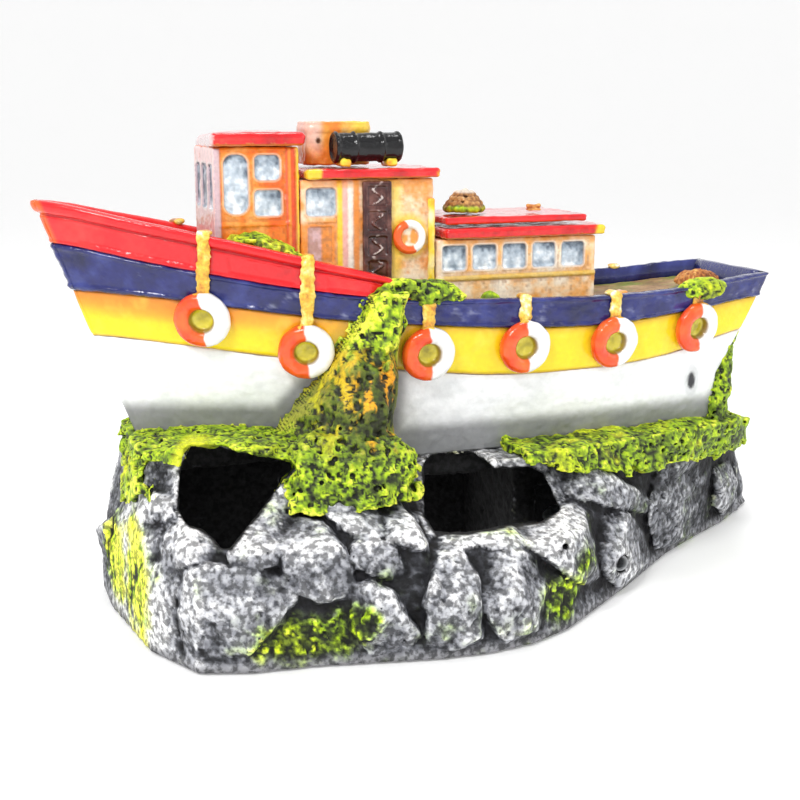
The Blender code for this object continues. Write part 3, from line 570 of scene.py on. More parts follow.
def hull_wall(name, s_end, closed, profile, dents=None, steps=300):
    """A band round the hull. profile(s) lists (mm out, height) round the band's thickness."""
    rows = []
    for s, side, turn in round_the_hull(s_end, closed, steps):
        out, z = (np.array(v, float) for v in zip(*profile(s)))
        x0, x1 = stem_at(z), stern_at(z)
        if turn is None:
            out = np.maximum(out, -0.8 * half_beam(s, z))
        elif s < 0.5:
            out = np.maximum(out, -0.5)
        if turn is not None and s > 0.5:
            across = turn - 2.0
            x, y = x1, middle_y + across * half_beam(1.0, z)
            way = np.stack([np.full(len(z), 1.0), np.full(len(z), 0.5 * across ** 7)], -1)
        elif turn is not None:
            x, y = x0, np.full(len(z), middle_y) + turn * 0.8
            a = turn * math.pi * 0.47
            way = np.stack([np.full(len(z), -math.cos(a)), np.full(len(z), math.sin(a))], -1)
        else:
            x = x0 + s * (x1 - x0)
            y = middle_y + side * half_beam(s, z)
            run = np.stack([np.full(len(z), 0.01) * (x1 - x0),
                            side * (half_beam(s + 0.005, z) - half_beam(s - 0.005, z))], -1)
            way = np.stack([-side * run[:, 1], side * run[:, 0]], -1)
        way /= np.linalg.norm(way, axis=1, keepdims=True)
        rows.append(np.stack([x + way[:, 0] * out, y + way[:, 1] * out, z], -1))
    grid = np.array(rows)
    n, m = grid.shape[:2]
    places = grid.reshape(-1, 3)
    if dents is not None:
        step_s = np.roll(grid, -1, 0) - np.roll(grid, 1, 0)
        step_v = np.roll(grid, -1, 1) - np.roll(grid, 1, 1)
        up = np.cross(step_v, step_s)
        up /= np.maximum(np.linalg.norm(up, axis=2, keepdims=True), 1e-9)
        if not closed:
            up[0], up[-1] = up[1], up[-2]
        places = places + up.reshape(-1, 3) * dents(places)[:, None]
    i, j = np.meshgrid(np.arange(n if closed else n - 1), np.arange(m), indexing="ij")
    i2, j2 = (i + 1) % n, (j + 1) % m
    faces = np.stack([i * m + j, i * m + j2, i2 * m + j2, i2 * m + j], -1).reshape(-1, 4)
    ob = resin(name, places, faces)
    turn_out(ob, not closed)
    return ob, places.astype(np.float32)


def above_line(p, line):
    """Mm above a line of heights along the hull."""
    return p[:, 2] - faired(line, np.clip(station(p[:, 0], p[:, 2]), 0, 1))


def up_the_band(p, foot, head):
    """0 at the foot line of a band, 1 at its head line."""
    above_foot, above_head = above_line(p, foot), above_line(p, head)
    return above_foot / np.maximum(above_foot - above_head, 1)


def white_section(s):
    foot = shelf_height - rock_step * float(edge(np.array(s), step_station, 0.01))
    head = float(faired(white_head, s))
    return ([(-6.0, foot)] + [(0.1, foot + (head - foot) * k / 46) for k in range(47)]
            + [(-6.0, head)])


def lumpy_plaster(p):
    low = 1 - edge(p[:, 2], 66, 10)
    return 0.28 * lumps(p, 9, 81, 3) + 0.22 * low * lumps(p, 3.5, 83, 3)


def moss_gap(p):
    """Mm from the weed that climbs the port side, with painted shade round it on the hull."""
    fore = np.interp(p[:, 2], (60, 70, 80, 92, 100, 108), (-75, -70, -62, -55, -50, -46))
    aft = np.interp(p[:, 2], (60, 80, 92, 108), (-37, -37.5, -36.5, -33))
    gap = np.maximum(fore - p[:, 0], p[:, 0] - aft)
    foot = np.where(p[:, 0] < -40, 66.0, 56.0)
    return np.where(p[:, 1] < middle_y, np.minimum(gap, p[:, 2] - foot), p[:, 2] - foot)


white, p = hull_wall("hull_bottom_casting", 1.0, True, white_section, lumpy_plaster)
dirt = lumps(p, 16, 85, 4)
tone = tones(0.90 + 0.10 * dirt + 0.08 * lumps(p, 3, 87, 3),
             (0, 0.4, 0.7, 1.0), ((0.30, 0.31, 0.33), (0.55, 0.57, 0.60), (0.80, 0.82, 0.84),
                                  (0.93, 0.94, 0.95)))
# Painted shade: the white goes dark grey close round the weed.
moss_shade = edge(-moss_gap(p), -5.0, 3.0)
tone = over(tone, 0.85 * moss_shade * edge(p[:, 2], 92, -4), (0.16, 0.16, 0.17))
# Painted shadow: grey at the hull's foot, where it sits on the rock shelf.
tone = over(tone, 0.5 * (1 - edge(p[:, 2], 60.5, 4)), (0.35, 0.36, 0.37))
tone = over(tone, 0.35 * edge(above_line(p, white_head), -1.2, 0.9), (0.70, 0.62, 0.50))
# The slot is not cut: painted shade stands for its hole, a near-black oval in a grey ring.
slot_u, slot_v = seen_square(p, -10)
slot_hole = np.hypot((slot_u - 79) / 1.6, (slot_v - 69.5) / 3.2)
tone = over(tone, edge(-slot_hole, -1.0, 0.25) * (p[:, 1] < middle_y), (0.02, 0.02, 0.025))
tone = over(tone, 0.5 * edge(-np.abs(slot_hole - 1.5), -0.4, 0.3) * (p[:, 1] < middle_y),
            (0.55, 0.56, 0.58))
brush(white, tone)
white_lacquer = painted_resin("white_lacquer", 0.34, 0.35, 2.5, 0.06, 2.2, 0.35)
fit(white, white_lacquer, "hull_white", "ornament", "hull_bottom")


def yellow_section(s):
    foot, head = float(faired(white_head, s)) + 0.2, float(faired(navy_foot, s)) - 0.1
    section = [(-6.0, foot), (-0.2, foot)]
    for k in range(31):
        f = k / 30
        swell = 0.30 + 0.25 * math.sin(math.pi * f) ** 0.4 - 0.25 * (f < 0.04)
        section.append((swell, foot + (head - foot) * f))
    return section + [(-6.0, head)]


yellow, p = hull_wall("hull_topsides_casting", 1.0, True, yellow_section,
                      lambda q: 0.14 * lumps(q, 8, 91, 3) + 0.05 * lumps(q, 2.2, 93, 2))
f = up_the_band(p, white_head, navy_foot)
fog = lumps(p, 22, 95, 3)
bow_glow = edge(-p[:, 0], 55, 60)
heat = (0.25 + 0.75 * bow_glow) * edge(f + 0.10 * fog, 0.52, 0.38)
tone = tones(heat, (0, 0.35, 0.7, 1.0), ((0.93, 0.72, 0.012), (0.93, 0.62, 0.012),
                                         (0.90, 0.40, 0.02), (0.86, 0.26, 0.02)))
tone = over(tone, 0.45 * edge(f, 0.9, 0.1), (0.55, 0.22, 0.02))
tone = over(tone, 0.75 * edge(-f, -0.045, 0.03), (0.62, 0.30, 0.10))
tone = over(tone, 0.30 * edge(lumps(p, 6, 97, 3), 0.5, 0.5), (0.98, 0.82, 0.10))
# Painted shade: the yellow goes dark brown close round the weed.
tone = over(tone, 0.55 * edge(-moss_gap(p), -4.0, 2.5), (0.35, 0.20, 0.02))
brush(yellow, tone)
yellow_lacquer = painted_resin("yellow_lacquer", 0.26, 0.5, 2.0, 0.05, 2.4, 0.3)
fit(yellow, yellow_lacquer, "hull_yellow", "ornament", "hull_topsides")


def navy_section(s):
    """The strake is a shallow channel between two beads."""
    foot, head = float(faired(navy_foot, s)) + 0.15, float(faired(red_foot, s))
    section = [(-2.4, foot), (-0.1, foot)]
    for k in range(27):
        f = k / 26
        bead = math.exp(-((f - 0.07) / 0.06) ** 2) + math.exp(-((f - 0.93) / 0.06) ** 2)
        swell = 0.95 + 0.75 * bead + 0.25 * math.sin(math.pi * f)
        section.append((swell, foot + (head - foot) * f))
    return section + [(-0.4, head + 0.3), (-2.4, head + 0.1)]


navy, p = hull_wall("sheer_strake_casting", 1.0, True, navy_section,
                    lambda q: 0.26 * lumps(q, 5, 101, 3) + 0.16 * lumps(q, 1.9, 103, 2))
f = up_the_band(p, navy_foot, red_foot)
tone = tones(0.5 + 0.5 * lumps(p, 7, 105, 4), (0, 0.5, 1), ((0.006, 0.008, 0.055),
                                                            (0.012, 0.016, 0.125),
                                                            (0.04, 0.055, 0.24)))
bloom = edge(lumps(p, 3.6, 107, 4) + 0.5 * lumps(p, 20, 109, 2), 0.86, 0.35)
tone = over(tone, 0.38 * bloom * edge(-np.abs(f - 0.5), -0.36, 0.1), (0.45, 0.48, 0.66))
tone = over(tone, 0.5 * edge(-f, -0.06, 0.05), (0.01, 0.01, 0.02))
brush(navy, tone)
navy_lacquer = painted_resin("navy_lacquer", 0.16, 0.8, 1.6, 0.12, 1.7, 0.55)
fit(navy, navy_lacquer, "strake_navy", "ornament", "sheer_strake")

fender_along = (0.188, 0.309, 0.462, 0.596, 0.729, 0.866)
fender_x = [stem_top_x + hull_length * f for f in fender_along]


def red_section(s):
    """Rounded rail cap, a groove under it and inset panels between the fender straps."""
    foot, head = float(faired(red_foot, s)) + 0.2, float(faired(rail, s))
    tall = head - foot
    shrink = 1.0 - float(edge(np.array(s), red_end - 0.018, 0.022)) * 0.45
    head = foot + tall * shrink
    x = float(stem_at(head) + s * (stern_at(head) - stem_at(head)))
    gap_to_strap = min(abs(x - fx) for fx in fender_x[:3] + [-141.0, -37.0])
    panel = float(edge(np.array(gap_to_strap), 5.5, 0.9)) * float(edge(np.array(tall), 7, 2))
    section = [(-2.4, foot), (-0.1, foot)]
    for k in range(41):
        f = k / 40
        cap = max(0.0, 1 - ((f - 0.87) / 0.15) ** 2) ** 0.5 if abs(f - 0.87) < 0.15 else 0.0
        groove = math.exp(-((f - 0.69) / 0.045) ** 2)
        inset = float(edge(np.array(f), 0.14, 0.05) * edge(np.array(-f), -0.60, 0.05))
        out = 0.9 + 1.25 * cap - 0.55 * groove - 0.5 * panel * inset
        out += 0.35 * math.exp(-((f - 0.04) / 0.04) ** 2)
        section.append((out, foot + (head - foot) * f))
    return section + [(-0.6, head + 0.35), (-1.9, head + 0.1), (-2.6, head - 1.0)]


red, p = hull_wall("bow_bulwark_casting", red_end, False, red_section,
                   lambda q: 0.10 * lumps(q, 7, 111, 3) + 0.05 * lumps(q, 2.0, 113, 2), 260)
f = up_the_band(p, red_foot, rail)
tone = tones(0.5 + 0.45 * lumps(p, 9, 115, 4), (0, 0.5, 1), ((0.55, 0.004, 0.008),
                                                             (0.80, 0.008, 0.014),
                                                             (0.88, 0.035, 0.03)))
tone = over(tone, 0.55 * np.exp(-((f - 0.69) / 0.04) ** 2), (0.25, 0.0, 0.004))
tone = over(tone, 0.65 * edge(-f, -0.03, 0.03), (0.08, 0.0, 0.02))
tone = over(tone, 0.7 * edge(-(p[:, 0] - stem_at(p[:, 2])), -0.8, 0.8), (0.90, 0.16, 0.02))
brush(red, tone)
red_lacquer = painted_resin("red_lacquer", 0.16, 0.8, 2.0, 0.06, 2.0, 0.30)
fit(red, red_lacquer, "bulwark_red", "ornament", "bow_bulwark")

# ---- Deck ----
# Cast with the hull's sheer, with plank seams scored along it, stained brown and wiped.

plank_width, deck_thick, deck_fore, deck_aft = 4.0, 4.0, -115.5, 101.5


def deck_height(x):
    z = faired(deck_sheer, 0.5)
    for _ in range(3):
        z = faired(deck_sheer, station(x, z))
    return z


def deck_form(p):
    top = deck_height(p[:, 0])
    s = np.clip(station(p[:, 0], top), 0, 1)
    side = np.abs(p[:, 1] - middle_y) - half_beam(s, p[:, 2]) + 2.9
    seam = np.abs(((p[:, 1] - middle_y) / plank_width + 0.5) % 1.0 - 0.5) * plank_width
    camber = 0.75 - 0.0005 * (p[:, 1] - middle_y) ** 2
    face = p[:, 2] - top - camber + 0.45 * np.clip(1 - seam / 0.5, 0, 1)
    return np.maximum(np.maximum(face, top - deck_thick - p[:, 2]),
                      np.maximum(side, np.maximum(deck_fore - p[:, 0], p[:, 0] - deck_aft)))


deck, p, slope, near, far = cast("deck_casting", (-118, -17, 90), (104, 49, 122), 0.8, deck_form,
                                 lambda q: 0.16 * lumps(q, 5, 121, 3))
tone = tones(0.5 + 0.5 * near + 0.3 * lumps(p, 7, 123, 4), (0, 0.5, 1),
             ((0.06, 0.03, 0.012), (0.34, 0.20, 0.09), (0.62, 0.43, 0.22)))
brush(deck, over(tone, 0.7 * edge(lumps(p, 15, 125, 3), 0.35, 0.4), (0.18, 0.26, 0.03)))
deck_stain = painted_resin("deck_stain", 0.5, 0.1, 1.2, 0.2, 1.0, 0.4)
fit(deck, deck_stain, "deck_tan", "ornament", "deck")

# ---- Moss ----
# Moulded weed like coarse sponge: along the foot of the hull, up its side amidships and at the
# stern, and beside the wheelhouse. Painted green-black, then dry brushed lime and yellow.


def sponge(seed, coarse=1.0):
    """The pitted, ragged texture of the weed."""
    def texture(p):
        hole, _ = crumbs(p, 3.2, seed)
        small, _ = crumbs(p, 1.9, seed + 3)
        return coarse * (1.3 * lumps(p, 7.0, seed + 5, 3) + 2.1 * np.clip(1.25 - hole, 0, 1)
                         + 1.1 * np.clip(0.9 - small, 0, 1) - 0.25)
    return texture


weed_finish = painted_resin("weed_paint", 0.62, 0.12, 0.9, 0.28, 0.8, 0.6)


def weed(name, low, high, form, seed, nodes, cell=0.6, lime=0.0, coarse=1.0):
    ob, p, slope, near, far = cast(name, low, high, cell, form, sponge(seed, coarse), 4.0,
                                   (0.9, 3.0))
    # The weed is painted brighter where it faces upward: painted light on its tops.
    colours = mossed(p, near * 1.15, far, lime + 0.10 * slope[:, 2])
    fit(ob, weed_finish, "moss_green", "ornament", *nodes)
    return ob, p, near, colours


def bow_ledge_form(p):
    x, y, z = p[:, 0], p[:, 1], p[:, 2]
    skin = bare_rock(p) - 3.4
    shelf = np.maximum(skin, np.abs(z - 62.5) - 4.2 - 2.0 * edge(x, -100, 12))
    ragged = 5.5 * lumps(p, 11, 131, 3)
    side = np.maximum(bare_rock(p) - 1.8 - 1.3 * lumps(p, 8, 133, 3), x + 117.0 - ragged)
    side = np.maximum(side, 44.0 + 1.2 * ragged - z)
    side = np.maximum(side, y - 30)
    d = np.minimum(shelf, side)
    d = np.maximum(d, 0.6 - hull_gap(p))
    d = np.maximum(d, x + 66.0)
    d = np.maximum(d, y - 34.0)
    return clear_of(d, p, mouths[0], 0.8)


ob, p, near, colours = weed("moss_ledge_bow_casting", (-133, -60, 14), (-60, 40, 74),
                            bow_ledge_form, 140, ["moss_ledge_bow"], 0.62)
u, v = seen_square(p, mouths[0][0])
lip = edge(-inside_outline(u, v, cave_bow), -3.4, 1.2) * edge(-u, 104, 3)
brush(ob, over(colours, 0.8 * lip, (0.74, 0.80, 0.03)))


def stern_ledge_form(p):
    x, y, z = p[:, 0], p[:, 1], p[:, 2]
    lower = np.interp(x, (0, 20, 45, 70, 100, 130), (50.5, 46.5, 43, 41, 39, 34))
    shelf = np.maximum(bare_rock(p) - 3.6, lower - z + 3.4 * lumps(p, 12, 151, 3))
    shelf = np.maximum(shelf, z + 1.2 * lumps(p, 9, 153, 2)
                       - np.interp(x, (0, 60, 105, 122, 140), (57.5, 56, 52, 45, 36)))
    shelf = np.maximum(shelf, np.maximum(6.0 - x, x + 0.12 * np.abs(y - middle_y) - 146.0))
    stalk = np.hypot((x - 96.5 - 0.07 * (z - 50)) / 1.0, (y - 1.5) / 1.3) - 4.4
    stalk = np.maximum(stalk, np.maximum(z - 84, 48 - z))
    d = np.minimum(shelf, stalk)
    d = np.maximum(d, 0.4 - hull_gap(p))
    return clear_of(d, p, mouths[1], 0.6)


ob, p, near, colours = weed("moss_ledge_stern_casting", (2, -48, 34), (146, 62, 86),
                            stern_ledge_form, 160, ["moss_ledge_stern"], 0.7)
brush(ob, over(colours, 0.5 * edge(lumps(p, 9, 171, 3), 0.6, 0.3), (0.80, 0.82, 0.04)))


buttress_z = (44, 52, 60, 70, 80, 92, 100, 108)
buttress_fore = (-80, -78, -75, -70, -62, -55, -50, -46)
buttress_aft = (-37, -36.5, -37, -38, -37.5, -36.5, -35.5, -33)
buttress_thick = (10, 21, 26, 21, 14, 9.0, 6.5, 6.0)


def buttress_form(p):
    x, y, z = p[:, 0], p[:, 1], p[:, 2]
    fore, aft, thick = (np.interp(z, buttress_z, v)
                        for v in (buttress_fore, buttress_aft, buttress_thick))
    mid, half = 0.5 * (fore + aft), 0.5 * (aft - fore)
    across = np.clip(np.abs(x - mid) / half, 0, 1.4)
    s = np.clip(station(x, z), 0, 1)
    skin = middle_y - half_beam(s, np.maximum(z, 51)) - 0.5
    thick = thick * (1 + 0.28 * lumps(p, 11, 187, 2))
    face = skin - thick * np.sqrt(np.clip(1 - across ** 2.6, 0, 1)) - 0.6
    d = np.maximum((face - y) * 0.8, (np.abs(x - mid) - half - 1.0) * 0.8)
    d = np.maximum(d, y - skin - 0.2)
    over_rail = np.linalg.norm((p - (-30.0, -15.5, 107.0)) / (17.0, 5.4, 4.4), axis=1) - 1
    d = np.minimum(np.maximum(d, z - 108.0), over_rail * 4.2)
    wander = 3.2 * lumps(p, 10, 195, 3)
    rock_skin = np.maximum(bare_rock(p) - 2.6 - 1.2 * lumps(p, 9, 197, 2),
                           np.maximum(fore + 3 - x, x - aft - 2) + wander)
    d = np.minimum(d, np.maximum(rock_skin, 43 - z + wander))
    for spot, reach in (((-48.0, -33.0, 53.0), (10.5, 8.5, 13.0)),
                        ((-64.0, -28.5, 54.0), (14.0, 8.5, 12.0))):
        boss = (np.linalg.norm((p - spot) / reach, axis=1) - 1) * 8.0
        blend = np.clip(0.5 + 0.5 * (d - boss) / 7.0, 0, 1)
        d = d * (1 - blend) + boss * blend - 7.0 * blend * (1 - blend)
    d = d + 1.1 * lumps(p, 8, 199, 2)
    d = np.maximum(d, 43.0 + 0.10 * np.abs(x + 58) + 0.7 * wander - z)
    for mouth in mouths:
        d = clear_of(d, p, mouth, 0.6)
    return d


ob, p, near, colours = weed("moss_buttress_casting", (-86, -60, 36), (-10, 0, 116),
                            buttress_form, 180, ["moss_buttress"], 0.6, -0.02)
dark = edge(-np.abs(p[:, 2] - 76 - 4 * lumps(p, 10, 191, 2)), -13, 7)
dark = dark * (0.75 + 0.25 * edge(p[:, 0], -62, 9))
colours = over(colours, 0.84 * dark, (0.022, 0.024, 0.010))
drips = edge(lumps(p * (1, 1, 0.45), 3.4, 193, 3), 0.30, 0.20) * edge(near, 0.0, 0.2) * dark
colours = over(colours, 0.95 * drips * edge(p[:, 0], -66, 8), (0.90, 0.38, 0.01))
colours = over(colours, 0.7 * drips * edge(-p[:, 0], 56, 8), (0.45, 0.62, 0.02))
brush(ob, colours)


def side_deck_form(p):
    x, y, z = p[:, 0], p[:, 1], p[:, 2]
    top = np.interp(x, (-92, -86, -78, -70, -62, -58), (120, 127, 128, 124.5, 118, 111))
    inner = hull_gap(p) + 2.6
    d = np.maximum((z - top + 0.35 * np.clip(-2 - y, 0, 9)) * 0.8, inner)
    d = np.maximum(d, np.maximum(deck_height(x) + 0.4 - z, np.maximum(-90 - x, x + 60)))
    return np.maximum(d, y - 0.6)


ob, p, near, colours = weed("moss_side_deck_casting", (-93, -17, 106), (-57, 2, 130),
                            side_deck_form, 200, ["moss_side_deck"], 0.5, 0.10, 0.8)
brush(ob, over(colours, 0.25 * edge(lumps(p, 8, 211, 2), 0.3, 0.4), (0.80, 0.55, 0.03)))


def rail_weed_form(p):
    heap = np.linalg.norm((p - (79.5, -13.0, 103.0)) / (9.0, 5.0, 4.0), axis=1) * 4.0 - 4.0
    return np.maximum(heap, np.abs(p[:, 1] + 13.5) - 4.6)


ob, p, near, colours = weed("stern_rail_weed", (67, -21, 96), (92, -5, 110), rail_weed_form,
                            220, [], 0.5, 0.12, 0.7)
brush(ob, colours)

# ---- Houses ----
# Wheelhouse, mid cabin and aft cabin are solid castings with the windows, planks and corner
# posts moulded in low relief. They are brushed, airbrushed warmer towards the corners,
# given painted shade in their recesses, and lacquered. Each has a red moulded roof.


def cad_box(node):
    """The CAD piece's lowest and highest corners in mm."""
    low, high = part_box(node)
    return np.array(low) * 1000, np.array(high) * 1000


def block(p, low, high, round_off=0.8):
    """Mm outside a block with rounded edges."""
    low, high = np.array(low, np.float32), np.array(high, np.float32)
    return slab_gap(p, low + round_off, high - round_off) - round_off


def panel(u, v, u0, u1, v0, v1, round_off=0.8):
    """Mm outside a rounded rectangle on a wall."""
    q = np.stack([np.abs(u - 0.5 * (u0 + u1)) - 0.5 * (u1 - u0) + round_off,
                  np.abs(v - 0.5 * (v0 + v1)) - 0.5 * (v1 - v0) + round_off], -1)
    return np.minimum(q.max(1), 0) + np.linalg.norm(np.maximum(q, 0), axis=1) - round_off


glass_tones = ((0.10, 0.13, 0.17), (0.32, 0.39, 0.46), (0.55, 0.63, 0.70), (0.90, 0.94, 0.96))


def glazed(p, colours, gap, u, v, u1, v1, frame_colour, seed=0):
    """Paints a window: silver glass with painted shade to its upper aft corner, in a brushed frame.
    """
    shade = (0.66 + 0.50 * lumps(p, 2.6, 301 + seed, 3) - 0.22 * edge(u - u1, -1.0, 1.0)
             - 0.34 * edge(v - v1, -2.6, 1.6) + 0.10 * edge(v1 - v, 5.0, 3.0))
    colours = over(colours, 0.6 * edge(-gap, -0.75, 0.3), frame_colour)
    colours = over(colours, 0.35 * edge(-np.abs(gap - 0.2), -0.25, 0.12), (0.20, 0.12, 0.08))
    return over(colours, edge(-gap, -0.12, 0.2), tones(shade, (0.1, 0.4, 0.7, 1.0), glass_tones))


def glaze(p, tone, along, facing, outline, frame_colour, seed, corner=None):
    """Paints one window of the wall that faces this way. along runs along the wall."""
    gap = panel(along, p[:, 2], *outline)
    seen = facing & (gap < 2.5)
    u1, v1 = corner or (outline[1], outline[3])
    tone[seen] = glazed(p[seen], tone[seen], gap[seen], along[seen], p[seen][:, 2], u1, v1,
                        frame_colour, seed)


def pressed_window(d, wall, gap, lip, deep, dish, dish_from, dish_soft):
    """The wall with a raised lip round a pane that is pressed in and bulges in its middle."""
    d = d - wall * lip * edge(-np.abs(gap - 0.5), -0.45, 0.25)
    return d + wall * deep * edge(-gap, 0.0, 0.3) * (1 - dish * edge(-gap, dish_from, dish_soft))


def airbrushed(p, seed, plain, warm, pale, size=6.0):
    """Uneven airbrushed wall colour with warmer and paler clouds and fine specks."""
    cloud = lumps(p, size, seed, 4)
    colours = over(np.tile(np.array(plain, float), (len(p), 1)), edge(cloud, 0.25, 0.5), warm)
    colours = over(colours, 0.8 * edge(-cloud, 0.30, 0.5), pale)
    return over(colours, 0.55 * edge(lumps(p, 1.3, seed + 3, 2), 0.75, 0.3), warm)


house_lacquer = painted_resin("house_lacquer", 0.34, 0.5, 1.2, 0.10, 1.1, 0.45)

wheel_low, wheel_high = cad_box("wheelhouse")
wheel_windows = ((-87.6, -80.2, 132.8, 151.0, 3.0), (-77.6, -69.8, 143.2, 150.8, 1.6),
                 (-77.8, -69.4, 132.0, 139.8, 1.2))
wheel_relief = (((-90.9, -89.0, 100, 153, 0.5), 0.55), ((-67.4, -64.8, 100, 153, 0.5), 0.7),
                ((-90, -66, 128.6, 130.0, 0.3), 0.35))
house_half = 15.0
fore_windows = [(y0, y1, 134, 148, 1.6) for y0, y1 in ((3.2, 9.6), (12.0, 20.0), (22.4, 28.8))]


def wheelhouse_form(p):
    x, y, z = p[:, 0], p[:, 1], p[:, 2]
    foot = deck_height(np.array([wheel_low[0], wheel_high[0]])).min()
    low = (wheel_low[0], wheel_low[1], foot)
    d = block(p, low, wheel_high, 1.0)
    side = edge(-np.abs(np.abs(y - middle_y) - house_half), -1.6, 0.3)
    for outline in wheel_windows:
        d = pressed_window(d, side, panel(x, z, *outline), 0.35, 0.75, 0.5, 1.3, 1.0)
    for outline, stands_out in wheel_relief:
        d = d - side * stands_out * edge(-panel(x, z, *outline), 0, 0.3)
    fore = edge(-np.abs(x - wheel_low[0]), -1.6, 0.3)
    for outline in fore_windows:
        d = d + fore * 0.7 * edge(-panel(y, z, *outline), 0.0, 0.3)
    return d


def wall_grain(seed, rough):
    """The slight unevenness of a brushed wall."""
    return lambda p: rough * (0.10 * lumps(p, 5, seed, 3) + 0.08 * lumps(p, 1.6, seed + 1, 2))


ob, p, slope, near, far = cast("wheelhouse_casting", wheel_low - (2, 2, 1), wheel_high + (2, 2, 1),
                               0.42, wheelhouse_form, wall_grain(311, 1.6))
x, y, z = p[:, 0], p[:, 1], p[:, 2]
tone = airbrushed(p, 321, (0.90, 0.25, 0.018), (0.86, 0.13, 0.010), (0.93, 0.45, 0.12), 7)
tone = over(tone, 0.45 * edge(-z, -122, 5), (0.88, 0.40, 0.14))
# Painted reflection: the fore-facing front is painted pale pink.
fore_face_reflection = edge(-slope[:, 0], 0.6, 0.15)
tone = over(tone, fore_face_reflection * 0.85, (0.80, 0.66, 0.67))
# Painted shade: darker orange in the recesses.
tone = over(tone, 0.5 * edge(-near, 0.08, 0.08), (0.42, 0.12, 0.02))
for outline in wheel_windows:
    glaze(p, tone, x, np.abs(slope[:, 1]) > 0.3, outline, (0.90, 0.62, 0.42), 1)
for outline in fore_windows:
    glaze(p, tone, y, slope[:, 0] < -0.3, outline, (0.93, 0.90, 0.88), 4,
          (outline[1], wheel_windows[-1][3]))
side = np.abs(slope[:, 1]) > 0.5
tone = over(tone, edge(-x, 89.0, 0.3) * 0.9 * side, (0.56, 0.45, 0.50))
tone = over(tone, edge(-np.abs(x + 66.1), -1.5, 0.3) * side * 0.95, (0.72, 0.07, 0.015))
tone = over(tone, 0.6 * edge(-np.abs(x + 66.6), -0.5, 0.2) * side, (0.90, 0.36, 0.05))
tone = over(tone, 0.9 * edge(x, -64.0, 0.4) * side, (0.93, 0.68, 0.05))
brush(ob, tone)
fit(ob, house_lacquer, "wheelhouse_orange", "ornament", "wheelhouse")

mid_low, mid_high = cad_box("mid_cabin")
mid_window, mid_door = (-60.9, -51.2, 131.4, 140.2, 1.4), (-60.5, -52.2, 116, 127.8, 0.8)
mid_planks = [(x0, x0 + 1.4, 104, 142, 0.4) for x0 in (-50.4, -48.6, -46.8)]
mid_band = (-62, -51, 129.2, 130.4, 0.3)
ladder_low, ladder_high = cad_box("wall_ladder")
ring_low, ring_high = cad_box("cabin_life_ring")


def mid_cabin_form(p):
    x, y, z = p[:, 0], p[:, 1], p[:, 2]
    d = block(p, mid_low, mid_high, 0.9)
    side = edge(-np.abs(np.abs(y - middle_y) - house_half), -1.4, 0.3)
    d = pressed_window(d, side, panel(x, z, *mid_window), 0.35, 0.7, 0.45, 1.3, 1.0)
    for outline in mid_planks:
        d = d - side * 0.45 * edge(-panel(x, z, *outline), 0, 0.25)
    d = d - side * 0.4 * edge(-panel(x, z, *mid_band), 0, 0.25)
    d = d + side * 0.4 * edge(-panel(x, z, *mid_door), 0, 0.3)
    return d


ob, p, slope, near, far = cast("mid_cabin_casting", mid_low - (2, 2, 1), mid_high + (2, 2, 1), 0.45,
                               mid_cabin_form, wall_grain(331, 1.8))
x, y, z = p[:, 0], p[:, 1], p[:, 2]
tone = airbrushed(p, 341, (0.91, 0.62, 0.38), (0.88, 0.33, 0.07), (0.93, 0.82, 0.66), 5)
tone = over(tone, 0.85 * edge(-x, 51, 1.0) * edge(-z, -129, 1.0), (0.88, 0.28, 0.03))
tone = over(tone, 0.8 * edge(-panel(x, z, -60.5, -56.0, 116, 127.8, 0.8), 0, 0.4),
            (0.66, 0.50, 0.58))
# Painted shade: darker brown in the recesses.
tone = over(tone, 0.5 * edge(-near, 0.08, 0.08), (0.38, 0.17, 0.08))
side = np.abs(slope[:, 1]) > 0.3
glaze(p, tone, x, side, mid_window, (0.90, 0.66, 0.50), 2, (-51.8, 139.6))
for centre, colour in ((-49.7, (0.93, 0.66, 0.03)), (-47.9, (0.86, 0.45, 0.42)),
                       (-46.1, (0.92, 0.88, 0.80)), (-43.9, (0.86, 0.28, 0.04))):
    tone = over(tone, 0.9 * edge(-np.abs(x - centre), -0.9, 0.25) * side, colour)
tone = over(tone, 0.70 * edge(-np.abs(x + 31.5), -3.0, 2.0) * side, (0.93, 0.68, 0.10))
halo = np.hypot(x - 0.5 * (ring_low + ring_high)[0], z - 0.5 * (ring_low + ring_high)[2])
tone = over(tone, 0.75 * edge(-halo, -7.4, 1.4) * side, (0.93, 0.62, 0.03))
tone = over(tone, 0.55 * edge(-np.abs(z - 141.6), -1.4, 0.5), (0.90, 0.36, 0.06))
brush(ob, tone)
fit(ob, house_lacquer, "cabin_peach", "ornament", "mid_cabin")

aft_low, aft_high = cad_box("aft_cabin")
aft_sill, aft_lintel = 112.2, 120.2
aft_rail, aft_half = (-17, 43, 108.6, 110.0, 0.5), 18.0
pale_frame = (0.90, 0.84, 0.78)
aft_windows = [(-14.7 + 11.1 * k, -6.5 + 11.1 * k, aft_sill, aft_lintel, 1.0) for k in range(5)]
end_windows = [(y0, y1, aft_sill, aft_lintel, 1.0) for y0, y1 in ((2, 8.5), (12, 20), (23.5, 30))]


def aft_cabin_form(p):
    x, y, z = p[:, 0], p[:, 1], p[:, 2]
    d = block(p, aft_low, aft_high, 0.9)
    side = edge(-np.abs(np.abs(y - middle_y) - aft_half), -1.4, 0.3)
    for outline in aft_windows:
        d = pressed_window(d, side, panel(x, z, *outline), 0.3, 0.7, 0.5, 1.2, 0.9)
    d = d - side * 0.6 * edge(-panel(x, z, *aft_rail), 0, 0.3)
    end = edge(x, aft_high[0] - 1.3, 0.3)
    for outline in end_windows:
        d = d + end * 0.6 * edge(-panel(y, z, *outline), 0, 0.3)
    return d


